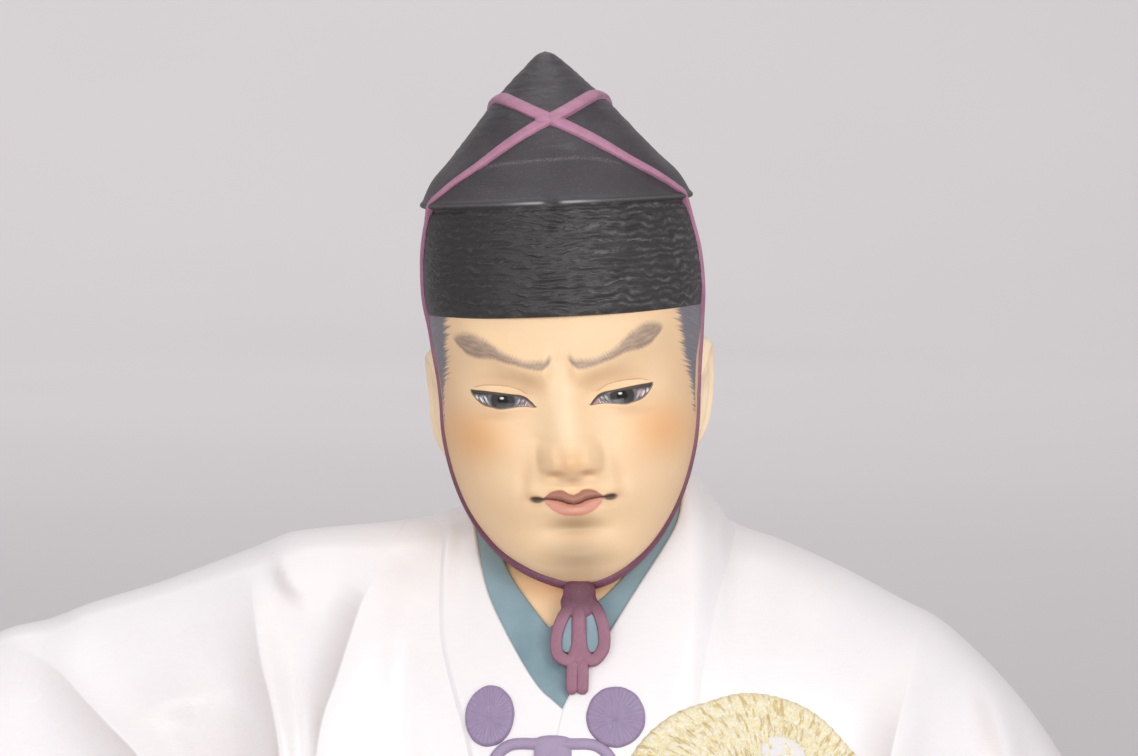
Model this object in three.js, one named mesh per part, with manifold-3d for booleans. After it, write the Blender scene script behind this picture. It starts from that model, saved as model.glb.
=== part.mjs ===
// A Hakata doll of fired, painted clay as a bust: a man in a tall black court hat, tied under the chin with a
// cord, and in a wide-sleeved ceremonial robe. It is one clay solid, cut flat below, that looks along -Y.
// Its origin is on the flat underside, below the neck. +X is the onlooker's right and +Z is up.
import * as THREE from "three";
import { mergeVertices } from "three/addons/utils/BufferGeometryUtils.js";
import Module from "manifold-3d";

// Driving dimensions, in millimetres
const HEIGHT = 131;
const CORD_WIDTH = 0.95;
const CROSS_CORD_WIDTH = 1.5;
const CHIN_CORD_WIDTH = 1.3;
const CORD_PROUD = 0.5;
const BOW_CORD_WIDTH = 1.9;
const BOW_CORD_PROUD = 1.1;
const ROSETTE_DIAMETER = 8.8;
const ROSETTE_PROUD = 1.0;
const ROUNDEL_DIAMETER = 32.4;
const ROUNDEL_PROUD = 0.9;
const COLLAR_STEP = 0.9;
const LAPEL_PROUD = 0.5;
const OVERLAP_PROUD = 0.8;
// How deep the applied forms sit in the clay below them
const SEAT = 1.5;

// The free forms below are in hundredths of the bust's height
const UNIT = HEIGHT / 100;
const ROSETTE_RAYS = 12;
const ROUNDEL_FEATHERS = 15;

// The head leans a little to the onlooker's left, and its level lines rise a little to the right
const LEAN = THREE.MathUtils.degToRad(4.4);
const LEVEL = THREE.MathUtils.degToRad(2.4);
const LEAN_PIVOT = 50;

const wasm = await Module();
wasm.setup();
// Points closer than this, in millimetres, are one point
const WELD = 0.002;

const { clamp, smoothstep, degToRad } = THREE.MathUtils;
const TURN = 2 * Math.PI;
const power = (value, exponent) => Math.sign(value) * Math.abs(value) ** exponent;
const bell = (offset) => Math.exp(-(offset ** 2));
// A rounded bump of height 1 in the middle, about one radius wide to each side
const bump = (x, z, rx, rz) => bell(x / rx) * bell(z / rz);

// A smooth curve y(x) through the given [x, y] knots, level beyond its ends
function curve(...knots) {
  const xs = knots.map((knot) => knot[0]);
  const ys = knots.map((knot) => knot[1]);
  const last = xs.length - 1;
  const chord = (i) => (ys[i + 1] - ys[i]) / (xs[i + 1] - xs[i]);
  const slopes = xs.map((x, i) => {
    if (i === 0) return chord(0);
    if (i === last) return chord(last - 1);
    const before = chord(i - 1);
    const after = chord(i);
    return before * after <= 0 ? 0 : (2 * before * after) / (before + after);
  });
  return (x) => {
    if (x <= xs[0]) return ys[0];
    if (x >= xs[last]) return ys[last];
    const i = xs.findIndex((knot) => knot > x) - 1;
    const span = xs[i + 1] - xs[i];
    const t = (x - xs[i]) / span;
    const rise = (3 - 2 * t) * t * t;
    const lead = t * (1 - t) * (1 - t);
    const trail = t * t * (1 - t);
    return ys[i] * (1 - rise) + ys[i + 1] * rise + span * (slopes[i] * lead - slopes[i + 1] * trail);
  };
}

// Closed solids: a unit geometry whose points are moved to place(u, v), in hundredths of the height
function solid(geometry, place) {
  const uv = geometry.getAttribute("uv");
  const position = geometry.getAttribute("position");
  for (let i = 0; i < uv.count; i++) {
    const shares = place(uv.getX(i), uv.getY(i));
    position.setXYZ(i, ...shares.map((share) => share * UNIT));
  }
  return manifoldOf(geometry, WELD / 10);
}
// place(u, v) goes round with u, and from one end at v = 0 to the other at v = 1
const shell = (around, along, place) => solid(new THREE.SphereGeometry(1, around, along), place);
// place(u, v) goes along the closed loop with u, and round its section with v
const ring = (along, around, place) => solid(new THREE.TorusGeometry(1, 0.4, around, along), place);

function manifoldOf(geometry, tolerance) {
  geometry.deleteAttribute("normal");
  geometry.deleteAttribute("uv");
  const merged = mergeVertices(geometry, tolerance);
  const mesh = new wasm.Mesh({
    numProp: 3,
    vertProperties: new Float32Array(merged.getAttribute("position").array),
    triVerts: new Uint32Array(merged.index.array),
  });
  const made = new wasm.Manifold(mesh);
  if (made.volume() > 0) return made;
  for (let i = 0; i < mesh.triVerts.length; i += 3) {
    [mesh.triVerts[i + 1], mesh.triVerts[i + 2]] = [mesh.triVerts[i + 2], mesh.triVerts[i + 1]];
  }
  return new wasm.Manifold(mesh);
}

// The robe: a dome over the base, from the end of the raised sleeve on the left to the arm on the right
const ROBE_LEFT = -76;
const ROBE_RIGHT = 64;
const ROBE_POWER = 2.3;
const robeTop = curve(
  [-76, 0], [-75.4, 12], [-73.4, 24], [-70, 30.4], [-66, 32.4], [-59, 34.5], [-48.7, 37.8], [-37.5, 42.2],
  [-32.6, 44], [-20.8, 45.2], [-13.6, 46.4], [-10, 48.2], [0, 50.6], [8, 51.4], [13, 50.9], [16.1, 47.3],
  [18.6, 44.8], [24, 42.9], [31.5, 39.6], [38.7, 35.8], [42.3, 34], [47.6, 29.5], [53.1, 23.4], [57.2, 17.4],
  [61.5, 9], [64, 0],
);
const robeFront = curve(
  [-76, -4], [-75.4, -8], [-73, -12], [-66, -14.5], [-50, -17.5], [-30, -21], [-10, -24], [8, -24.4],
  [28, -22.5], [42, -19.5], [53, -14.5], [60, -8.5], [64, -2],
);
const robeBack = curve(
  [-76, -3], [-75.4, 1], [-73, 5], [-66, 8.5], [-50, 12], [-30, 17], [0, 22], [28, 19.5], [42, 16.5],
  [53, 12], [60, 6.5], [64, -1],
);
const robeRidge = curve(
  [-76, -3.5], [-66, -2], [-40, 0], [-22, 3], [-9, 9], [9, 9], [22, 3.5], [40, 1], [64, -1.5],
);

// Folds of the robe: a valley along a line x(z) with a ridge on its right side, as deep as deep(z)
const fold = (wide, line, deep) => ({ wide, line: curve(...line), deep: curve(...deep) });
const FRONT_FOLDS = [
  fold(4, [[10, -33], [25, -30], [38, -23.5]], [[0, 2], [26, 2.2], [36, 1.2], [40, 0]]),
  fold(5, [[0, -46], [24, -40], [39, -38]], [[0, 1.6], [24, 1.4], [36, 0.7], [40, 0]]),
  fold(4.6, [[0, -52], [22, -53], [36, -60]], [[0, 1.6], [26, 1.3], [33, 0]]),
  fold(3.8, [[0, 27], [22, 33], [33, 39]], [[0, 1.7], [26, 1.6], [31, 0.9], [34, 0]]),
  fold(3.2, [[0, 38], [20, 42], [30, 44]], [[0, 0.9], [20, 0.8], [28, 0]]),
  fold(3, [[24, 14.5], [36, 17], [43, 19]], [[22, 0], [34, 0.5], [40, 0.6], [45, 0]]),
];
const BACK_FOLDS = [
  fold(5, [[0, -34], [40, -20]], [[0, 1.6], [40, 0]]),
  fold(4, [[0, 4], [44, 1]], [[0, 1.2], [44, 0]]),
  fold(5, [[0, 36], [38, 24]], [[0, 1.5], [36, 0]]),
];
function foldRelief(folds, x, z) {
  return folds.reduce((sum, fold) => {
    const off = (x - fold.line(z)) / fold.wide;
    return sum + fold.deep(z) * (0.75 * bell(off - 1) - bell(off + 0.6));
  }, 0);
}

// How far forward the robe's front lies at x and z
function robeFace(x, z) {
  const height = clamp(z / robeTop(x), 0, 1);
  const forward = (1 - height ** ROBE_POWER) ** (1 / ROBE_POWER);
  return robeRidge(x) + (robeFront(x) - robeRidge(x) - foldRelief(FRONT_FOLDS, x, z)) * forward;
}
// The arch of the dome at x, by the angle from its front foot over the ridge to its back foot
function archPoint(x, angle, inset) {
  const top = Math.max(robeTop(x) - inset, 0);
  const z = top * Math.max(Math.sin(angle), 0) ** (2 / ROBE_POWER);
  const out = Math.abs(Math.cos(angle)) ** (2 / ROBE_POWER);
  const isFront = Math.cos(angle) > 0;
  const reach = isFront ? robeFront(x) + inset : robeBack(x) - inset;
  const relief = isFront ? -foldRelief(FRONT_FOLDS, x, z) : foldRelief(BACK_FOLDS, x, z);
  return [x, robeRidge(x) + (reach - robeRidge(x) + relief) * out, z];
}

const ROBE_AROUND = 24;
const ROBE_ALONG = 39;
const ARCH_SHARE = 0.9;
// The points lie closer together over the chest than along the arms
const robeStations = curve(
  [0, ROBE_LEFT], [0.04, -75], [0.1, -70], [0.36, -36], [0.5, -12], [0.62, 3], [0.8, 30], [0.96, 60],
  [1, ROBE_RIGHT],
);
const archAngle = (share) => Math.PI * (share - 0.12 * Math.sin(Math.PI * share) * (1 - share));
function robeSolid(inset) {
  return shell(ROBE_AROUND, ROBE_ALONG, (u, v) => {
    const x = clamp(robeStations(v), ROBE_LEFT + inset, ROBE_RIGHT - inset);
    if (v <= 0 || v >= 1) return [x, robeRidge(x), 0];
    if (u <= ARCH_SHARE) return archPoint(x, archAngle(u / ARCH_SHARE), inset);
    const back = archPoint(x, Math.PI, inset);
    const front = archPoint(x, 0, inset);
    return [x, THREE.MathUtils.lerp(back[1], front[1], (u - ARCH_SHARE) / (1 - ARCH_SHARE)), 0];
  });
}

// The crossed openings of the robe and of the inner collar, as [x, z] seen from the front
const NECK_BACK = 11;
const OPENING_TOP = 60;
const OPENING_FRONT = -30;
const OUTER_LEFT = [
  [-12.4, 52], [-11.6, 45], [-10.8, 41.2], [-9.8, 37.8], [-8.1, 34.4], [-5.7, 30.3], [-3.7, 27.6],
];
const OUTER_TIP = [-1.5, 26.2];
const OUTER_RIGHT = [
  [4.4, 34.4], [6, 37.2], [7.7, 39.7], [9.9, 42.8], [11.7, 45.7], [12.4, 48.3], [12.6, 52],
];
const INNER_LEFT = [[-10.6, 52], [-9.8, 44.5], [-8.5, 41.5], [-7.6, 39.9], [-5.6, 37.3], [-3.7, 35.1]];
const INNER_TIP = [-2.2, 33.4];
const INNER_RIGHT = [[0, 35], [2.9, 37.1], [5.3, 39.5], [6.8, 41.3], [9, 44], [10.6, 47], [10.8, 52]];
// The inner collar reaches this far under the robe
const COLLAR_REACH = { left: [[-24, 52]], tip: [0, 14], right: [[24, 52]] };

function openingSolid(left, tip, right, back) {
  const outline = [[left[0][0], OPENING_TOP], ...left, tip, ...right, [right.at(-1)[0], OPENING_TOP]];
  const shape = new THREE.Shape(outline.map(([x, z]) => new THREE.Vector2(x * UNIT, z * UNIT)));
  const depth = (back - OPENING_FRONT) * UNIT;
  const prism = new THREE.ExtrudeGeometry(shape, { depth, bevelEnabled: false, steps: 1 });
  prism.rotateX(Math.PI / 2);
  prism.translate(0, back * UNIT, 0);
  return manifoldOf(prism, WELD);
}

// The white lapels: low bands beside the opening, the right one laid over the left
const LAPEL_WIDTH = 7.4;
const LAPEL_TRIM = 1.2;
const LAPEL_UNDER_TOP = 0.4;
const LEFT_LAPEL = [...OUTER_LEFT.slice(1), OUTER_TIP, [-0.5, 25.3]];
const RIGHT_LAPEL = [[-8, 4], [-5, 14], [-2.6, 21], OUTER_TIP, ...OUTER_RIGHT.slice(0, -1)];
function lapelSolid(line, side, proud) {
  const rows = 8;
  const path = new THREE.CatmullRomCurve3(line.map(([x, z]) => new THREE.Vector3(x, 0, z)));
  return shell(6, rows, (u, v) => {
    const t = endRows(v, rows);
    const size = isEnd(v) ? 0 : 1;
    const middle = path.getPoint(t);
    const tangent = path.getTangent(t);
    const across = 0.5 * LAPEL_WIDTH * (1 + size * power(Math.cos(TURN * u), 0.6)) - LAPEL_TRIM;
    const x = middle.x + side * across * Math.abs(tangent.z);
    const z = Math.min(middle.z - side * across * tangent.x, robeTop(x) - LAPEL_UNDER_TOP);
    const lift = size * power(Math.sin(TURN * u), 0.6);
    return [x, robeFace(x, z) - (lift > 0 ? lift * proud : lift * SEAT) / UNIT, z];
  });
}
// Along a shell with flat ends, the first and last rows close the ends
const endRows = (v, rows) => clamp((v * rows - 1) / (rows - 2), 0, 1);
const isEnd = (v) => v <= 0 || v >= 1;

// Slices of the head and hat by z: half width, the y of front, middle and back, and how square they are
const HEAD_CENTRE = 60;
const JAW_HALF = 14.9;
const JAW_DROP = 21;
const HEAD_LOWEST = HEAD_CENTRE - JAW_DROP;
const HEAD_TOP = 76;
const templeHalf = curve([HEAD_CENTRE, JAW_HALF], [64, 15.15], [68, 15.4], [HEAD_TOP, 15.4]);
const jawHalf = (z) => JAW_HALF * Math.sqrt(Math.max(1 - ((HEAD_CENTRE - z) / JAW_DROP) ** 2, 0));
const head = {
  half: (z) => (z < HEAD_CENTRE ? jawHalf(z) : templeHalf(z)),
  front: curve(
    [39, -15], [39.3, -17], [40.2, -18.9], [41.5, -20.1], [43.3, -20.6], [46, -20.3], [50, -20.8],
    [54, -20.5], [58, -20.1], [62, -20.1], [66, -20.3], [70, -19.8], [76, -18.4],
  ),
  middle: curve([39, -15], [42, -11.8], [45, -9], [48, -7], [52, -5], [56, -3.8], [60, -3], [70, -2]),
  back: curve(
    [39, -15], [39.6, -10], [41, -5], [44, 1], [48, 7], [52, 11], [58, 15], [64, 17.5], [70, 18.6],
    [76, 18.4],
  ),
  power: 2.2,
};
const HAT_RIM = 69.6;
const HAT_LEDGE = 82.8;
const HAT_PEAK = 100.15;
const hat = {
  half: curve(
    [HAT_RIM, 15.9], [73, 16.35], [77, 16.1], [80, 15.55], [82.4, 15.1], [HAT_LEDGE, 15.9], [83.4, 15.8],
    [85.4, 14.5], [88, 12.1], [91, 9.5], [94, 6.9], [96, 5], [97.9, 3.1], [99.2, 1.7], [99.9, 0.8],
    [HAT_PEAK, 0],
  ),
  front: curve(
    [HAT_RIM, -20.6], [74, -20.4], [80, -19.9], [82.2, -19.7], [83.2, -19], [85, -17.6], [87.8, -15.8],
    [92.7, -12.9], [96, -9.9], [98.5, -7.2], [99.7, -5.6], [HAT_PEAK, -3.8],
  ),
  middle: curve([HAT_RIM, -2], [83, -1.5], [92, -2.5], [HAT_PEAK, -3.8]),
  back: curve(
    [HAT_RIM, 19.3], [76, 19.8], [82.4, 19.4], [HAT_LEDGE, 20.2], [86, 18.8], [90, 15.4], [95, 9],
    [98.5, 3], [99.8, -1.5], [HAT_PEAK, -3.8],
  ),
  power: 2.1,
};
// The midline and the flanks stray a little from the leaning axis, as in hand-pressed clay
const midline = curve(
  [40, 0.2], [49, -0.2], [54, -0.2], [61, -0.6], [70, -0.5], [83, 0], [92, 0.4], [100, 0.3],
);
const flanks = curve([41, -0.7], [48.5, -0.1], [53, 0.1], [62, 0.5], [83, 0.6], [100, 0.4]);

function lean([x, y, z]) {
  const up = z - LEAN_PIVOT;
  return [
    x * Math.cos(LEVEL) - up * Math.sin(LEAN),
    y,
    LEAN_PIVOT + up * Math.cos(LEAN) + x * Math.sin(LEVEL),
  ];
}
function slicePoint(form, angle, z, relief = () => 0) {
  const across = power(Math.sin(angle), 2 / form.power);
  const along = power(Math.cos(angle), 2 / form.power);
  const x = form.half(z) * across;
  const reach = along > 0 ? form.front(z) : form.back(z);
  const y = form.middle(z) + (reach - form.middle(z)) * Math.abs(along);
  const turned = along * smoothstep(form.half(z), 0, 4);
  const drift = flanks(z) + (midline(z) - flanks(z)) * turned;
  return lean([x + drift, y - relief(x, z) * smoothstep(along, 0, 0.35), z]);
}

// The face: what stands out from the rounded head, by x from the midline and by z
const noseHeight = curve(
  [50.8, 0], [51.6, 1.4], [52.6, 3.7], [53.8, 4.8], [55.5, 4.4], [58, 3.2], [60.5, 2.1], [63, 0.9], [65, 0],
);
const noseHalf = curve([51, 2.3], [53.5, 2], [56, 1.5], [59, 1.2], [63, 1.5]);
const browLine = curve([0, 64.2], [2.5, 63.9], [6, 65.4], [9, 67], [12, 67.4]);
function faceRelief(x, z) {
  const side = Math.abs(x);
  const browSpan = smoothstep(side, 0.4, 2) * (1 - smoothstep(side, 10, 13));
  const nose = noseHeight(z) * Math.exp(-((side / noseHalf(z)) ** 2.4));
  const wings = 2.2 * bump(side - 2.75, z - 53.5, 1.25, 1.35);
  const brow = 0.9 * browSpan * bell((z - browLine(side)) / 1.7);
  const sockets = -1.7 * bump(side - 6, z - 61.3, 3.9, 2.1);
  const eyeballs = 1.15 * bump(side - 6.7, z - 60.5, 3.4, 1.25);
  const cheeks = 0.7 * bump(side - 8.6, z - 56, 3.6, 3.2);
  const muzzle = 0.6 * bump(x, z - 49, 4.6, 3.4);
  const lips = 0.6 * bump(x, z - 50, 3, 0.8) + 0.7 * bump(x, z - 47.9, 2.7, 0.9);
  const mouth = -0.5 * bump(x, z - 49.1, 3.8, 0.4) - 0.5 * bump(side - 4.6, z - 49.3, 1, 0.8);
  const chin = 0.9 * bump(x, z - 42.8, 3.4, 1.9) - 0.7 * bump(x, z - 45.8, 3.4, 1);
  return nose + wings + brow + sockets + eyeballs + cheeks + muzzle + lips + mouth + chin;
}

const HEAD_AROUND = 36;
const HEAD_ALONG = 28;
// More of the points go to the face than to the back of the head
const faceAngle = (u) => TURN * (u - 0.5) - 0.55 * Math.sin(TURN * (u - 0.5));
const headLevels = curve(
  [0, HEAD_LOWEST], [0.05, 39.5], [0.11, 41], [0.22, 45], [0.8, 66], [0.95, 74], [1, HEAD_TOP],
);
function headSolid() {
  return shell(HEAD_AROUND, HEAD_ALONG, (u, v) => {
    if (v >= 1) return lean([0, 0, HEAD_TOP]);
    const relief = (x, z) => faceRelief(x, z) * smoothstep(v, 0, 0.08);
    return slicePoint(head, faceAngle(u), headLevels(v), relief);
  });
}

const HAT_AROUND = 26;
const HAT_ALONG = 15;
const hatLevels = curve(
  [0, HAT_RIM], [0.04, HAT_RIM], [0.45, 82], [0.5, HAT_LEDGE], [0.56, 83.6], [0.85, 96], [0.96, 99.6],
  [1, HAT_PEAK],
);
function hatSolid() {
  return shell(HAT_AROUND, HAT_ALONG, (u, v) => {
    if (v <= 0) return lean([0, 0, HAT_RIM]);
    return slicePoint(hat, TURN * u, hatLevels(v));
  });
}

const NECK_RADIUS = 9.6;
const neckHalf = curve([22, 12.5], [30, 11.6], [36, 10.4], [42, NECK_RADIUS]);
const neckFront = curve(
  [22, -18.6], [27, -17.8], [31, -16.4], [34.5, -14.4], [38, -12.2], [42, -10.6], [54, -NECK_RADIUS],
);
function neckSolid() {
  const rows = 7;
  return shell(14, rows, (u, v) => {
    const z = THREE.MathUtils.lerp(22, 54, endRows(v, rows));
    if (isEnd(v)) return [0, 0, z];
    const reach = Math.cos(TURN * u) > 0 ? neckFront(z) : NECK_RADIUS;
    return [neckHalf(z) * Math.sin(TURN * u), reach * Math.abs(Math.cos(TURN * u)), z];
  });
}

const EAR_TOP = 66.4;
const EAR_LENGTH = 14.6;
const earProud = curve([0, 0], [0.08, 1.1], [0.3, 1.6], [0.6, 1.3], [0.85, 0.9], [0.97, 0.5], [1, 0]);
const earDepth = curve([0, 0], [0.08, 1.6], [0.3, 3.4], [0.6, 2.9], [0.9, 1.5], [1, 0]);
function earSolid(side) {
  return shell(7, 6, (u, v) => {
    const z = EAR_TOP - EAR_LENGTH * v;
    const out = earProud(v) * Math.cos(TURN * u) + 0.5 * (1 - v);
    const y = 1.6 * v - 0.4 + earDepth(v) * Math.sin(TURN * u);
    return lean([side * (head.half(z) + out) + flanks(z), y, z]);
  });
}

// A flat cord laid on the surface along a path of points
const CORD_SIDES = 4;
const CORD_CORNER = 1.2;
function cordSolid(path, { rows, outward, width, proud, seat = SEAT, closed = false }) {
  const points = path.map((point) => new THREE.Vector3(...point));
  const spine = new THREE.CatmullRomCurve3(points, closed, "centripetal");
  const section = (t, u, size) => {
    const place = spine.getPointAt(t);
    const tangent = spine.getTangentAt(t);
    const across = new THREE.Vector3().crossVectors(tangent, outward(place)).normalize();
    const normal = new THREE.Vector3().crossVectors(across, tangent).normalize();
    const angle = TURN * (u + 0.5 / CORD_SIDES);
    const rise = Math.sin(angle) > 0 ? proud : seat;
    place.addScaledVector(across, (size * CORD_CORNER * width(t) * Math.cos(angle)) / 2 / UNIT);
    place.addScaledVector(normal, (size * CORD_CORNER * rise * Math.sin(angle)) / UNIT);
    return place.toArray();
  };
  if (closed) return ring(rows, CORD_SIDES, (u, v) => section(u % 1, v, 1));
  return shell(CORD_SIDES, rows, (u, v) => section(endRows(v, rows), u, isEnd(v) ? 0 : 1));
}

// One strand of the hat's cord: from behind over the front to the other flank, and down to the chin.
// Its stations are [degrees from the front, z] on the head and hat.
const BEHIND_HAT = [[180, 86.5], [150, 89], [120, 92.6], [92, 94.6], [62, 95.3], [32, 94.4]];
const OVER_HAT = [
  [0, 92.7], [30, 89.9], [48, 86.6], [64, 84.3], [75, 83], [80, 81.5], [81, 77], [81, 71], [82, 69],
];
const BY_CHEEK = [[82, 66], [83, 61], [84, 56], [85, 51.5], [85, 47.5], [82, 44]];
const UNDER_CHIN = [[6.6, -13.4, 41.5], [3.6, -15.6, 39.8], [1.2, -17, 38.9]];
const strandWidth = curve(
  [0, CROSS_CORD_WIDTH], [0.3, CROSS_CORD_WIDTH], [0.42, CORD_WIDTH], [0.85, CORD_WIDTH],
  [1, CHIN_CORD_WIDTH],
);
const HEAD_AXIS = [-1, -3];
const fromAxis = ({ x, y, z }) => new THREE.Vector3(x - HEAD_AXIS[0], y - HEAD_AXIS[1], z - clamp(z, 60, 80));
function strandSolid(side) {
  const stations = [
    ...BEHIND_HAT.map(([angle, z]) => [-side * angle, z]),
    ...[...OVER_HAT, ...BY_CHEEK].map(([angle, z]) => [side * angle, z]),
  ];
  const onHead = stations.map(([angle, z]) => slicePoint(z > HAT_RIM ? hat : head, degToRad(angle), z));
  const atChin = UNDER_CHIN.map(([x, y, z]) => lean([side * x, y, z]));
  const style = { rows: 36, outward: fromAxis, width: strandWidth, proud: CORD_PROUD };
  return cordSolid([...onHead, ...atChin], style);
}

const bowCord = {
  outward: () => new THREE.Vector3(0, -1, 0.25),
  width: () => BOW_CORD_WIDTH,
  proud: BOW_CORD_PROUD,
};
const onRobe = (points) => points.map(([x, z]) => [x, robeFace(x, z), z]);

// The knot under the chin hangs over the collar, with two loops and two tails
const KNOT_LIFT = 0.6;
const KNOT_DEPTH = BOW_CORD_PROUD + 1.5;
const knotFace = curve([25, -21.4], [30, -20.6], [34, -19.3], [37, -18.2], [39.5, -17.4]);
const KNOT_LOOPS = [
  [[0, 38], [-1.6, 35.6], [-2.4, 33.2], [-2, 31], [-0.6, 30.2], [0, 32], [0.1, 34.5]],
  [[0.9, 38], [2.5, 36.4], [3.4, 34], [3.2, 31.6], [1.9, 30.6], [1, 31.8], [0.6, 34.5]],
];
const KNOT_TAILS = [
  [[0.3, 32], [-0.55, 30], [-0.65, 28.5], [-0.65, 27.6]],
  [[0.3, 32], [0.85, 30], [0.75, 28.5], [0.75, 27.6]],
];
const KNOT_HEAD = [[0.5, 39.2], [0.5, 38.3], [0.4, 37.2], [0.3, 35.8]];
function knotSolids() {
  const hung = (points) => points.map(([x, z]) => [x, knotFace(z) - KNOT_LIFT, z]);
  const style = { ...bowCord, seat: KNOT_DEPTH };
  const headStyle = { ...style, rows: 6, width: () => 1.9 * BOW_CORD_WIDTH, proud: 1.2 * BOW_CORD_PROUD };
  return [
    ...KNOT_LOOPS.map((points) => cordSolid(hung(points), { ...style, rows: 10, closed: true })),
    ...KNOT_TAILS.map((points) => cordSolid(hung(points), { ...style, rows: 6 })),
    cordSolid(hung(KNOT_HEAD), headStyle),
  ];
}

// The flat bow that ties the robe's front below the collar
const BOW_X = -2.3;
const BOW_LOOP = [[0, 20.4], [4, 22], [7.6, 20.6], [8, 18.2], [5, 17.6], [1.5, 18.6]];
const BOW_TAIL = [[0, 19.6], [1.4, 16], [2.4, 11.5], [2.8, 7.5]];
const BOW_KNOT = [[0, 22.4], [0, 20.5], [0, 18.2]];
function bowSolids() {
  const placed = (points, side) => onRobe(points.map(([x, z]) => [BOW_X + side * x, z]));
  const knotStyle = { ...bowCord, rows: 6, width: () => 2 * BOW_CORD_WIDTH, proud: 1.35 * BOW_CORD_PROUD };
  return [
    ...[-1, 1].map((side) => cordSolid(placed(BOW_LOOP, side), { ...bowCord, rows: 12, closed: true })),
    ...[-1, 1].map((side) => cordSolid(placed(BOW_TAIL, side), { ...bowCord, rows: 7 })),
    cordSolid(placed(BOW_KNOT, 1), knotStyle),
  ];
}

// A disc on the robe's front whose face rises, in millimetres, by profile(share of the radius, angle)
const FACE_SHARE = 0.72;
function discSolid({ x, z, squeeze = 1, diameter, around, along, profile }) {
  const radius = diameter / 2 / UNIT;
  return shell(around, along, (u, v) => {
    const isFace = v <= FACE_SHARE;
    const share = isFace ? v / FACE_SHARE : (1 - v) / (1 - FACE_SHARE);
    const px = x + squeeze * radius * share * Math.sin(TURN * u);
    const pz = z + radius * share * Math.cos(TURN * u);
    const rise = isFace ? profile(share, TURN * u) : -SEAT;
    return [px, robeFace(px, pz) - rise / UNIT, pz];
  });
}
function rosetteSolid(x, squeeze) {
  const profile = (share, angle) => {
    const rays = 0.16 * share * Math.sin(ROSETTE_RAYS * angle);
    return ROSETTE_PROUD * (1 - 0.45 * share ** 3 + rays + 0.35 * bell(share / 0.16));
  };
  const size = { diameter: ROSETTE_DIAMETER, around: 2 * ROSETTE_RAYS, along: 5 };
  return discSolid({ x, z: 24.2, squeeze, profile, ...size });
}
function roundelSolid() {
  const profile = (share, angle) => {
    const rim = smoothstep(share, 0.72, 0.8) * (1 + 0.3 * Math.cos(ROUNDEL_FEATHERS * angle));
    const wings = 0.7 * bell((share - 0.55) / 0.1);
    return ROUNDEL_PROUD * (0.5 + 0.5 * Math.max(rim, wings));
  };
  const size = { diameter: ROUNDEL_DIAMETER, around: 2 * ROUNDEL_FEATHERS, along: 7 };
  return discSolid({ x: 19.1, z: 14, profile, ...size });
}

const largestBody = (made) =>
  made.decompose().reduce((largest, body) => (body.volume() > largest.volume() ? body : largest));

function bustSolid() {
  const outer = openingSolid(OUTER_LEFT, OUTER_TIP, OUTER_RIGHT, NECK_BACK);
  const inner = openingSolid(INNER_LEFT, INNER_TIP, INNER_RIGHT, NECK_BACK - 1);
  const reach = openingSolid(COLLAR_REACH.left, COLLAR_REACH.tip, COLLAR_REACH.right, NECK_BACK + 3);
  const collar = robeSolid(COLLAR_STEP / UNIT).intersect(reach).subtract(inner);
  const robe = robeSolid(0)
    .add(lapelSolid(LEFT_LAPEL, -1, LAPEL_PROUD))
    .add(lapelSolid(RIGHT_LAPEL, 1, OVERLAP_PROUD))
    .subtract(outer);
  const head = [neckSolid(), headSolid(), hatSolid(), earSolid(-1), earSolid(1)];
  const cords = [strandSolid(-1), strandSolid(1), ...knotSolids(), ...bowSolids()];
  const ornaments = [rosetteSolid(-9.6, 0.82), rosetteSolid(4.8, 1), roundelSolid()];
  const joined = [collar, ...head, ...cords, ...ornaments].reduce((whole, piece) => whole.add(piece), robe);
  // The clay is solid: only its outer skin is kept, without pockets or slivers between the joined forms
  return largestBody(manifoldOf(geometryOf(largestBody(joined)), WELD));
}

function geometryOf(made) {
  const { vertProperties, triVerts } = made.getMesh();
  const geometry = new THREE.BufferGeometry();
  geometry.setAttribute("position", new THREE.BufferAttribute(vertProperties, 3));
  geometry.setIndex(new THREE.BufferAttribute(triVerts, 1));
  return geometry;
}

const paintedClay = new THREE.MeshStandardMaterial({ color: 0xefe8e6, roughness: 0.45, metalness: 0 });
const bust = new THREE.Mesh(geometryOf(bustSolid()), paintedClay);
bust.name = "doll_bust";
bust.geometry.computeVertexNormals();

const doll = new THREE.Group();
doll.add(bust);

export default doll;
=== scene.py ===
"""A painted clay doll bust: a man in a tall black court hat and a white ceremonial robe."""
import math
from types import SimpleNamespace

import bpy
import numpy as np
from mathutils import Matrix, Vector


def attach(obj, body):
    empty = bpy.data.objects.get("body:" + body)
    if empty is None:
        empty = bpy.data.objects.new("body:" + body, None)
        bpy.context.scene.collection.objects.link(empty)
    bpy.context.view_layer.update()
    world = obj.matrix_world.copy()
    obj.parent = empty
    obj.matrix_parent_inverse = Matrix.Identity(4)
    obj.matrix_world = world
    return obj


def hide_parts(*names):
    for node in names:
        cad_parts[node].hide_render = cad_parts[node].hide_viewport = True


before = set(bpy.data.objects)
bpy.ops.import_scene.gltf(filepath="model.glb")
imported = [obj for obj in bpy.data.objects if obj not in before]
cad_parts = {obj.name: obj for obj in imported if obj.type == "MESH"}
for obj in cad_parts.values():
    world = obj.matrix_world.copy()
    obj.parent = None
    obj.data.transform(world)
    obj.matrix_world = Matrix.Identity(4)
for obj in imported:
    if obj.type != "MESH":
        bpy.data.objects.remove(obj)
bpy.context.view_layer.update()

# The forms below are in hundredths of the bust's height, as in the part's source
HEIGHT = 0.131
UNIT = HEIGHT / 100
MM = 0.001 / UNIT
TURN = 2 * math.pi


# Curves, noise and other small tools

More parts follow.
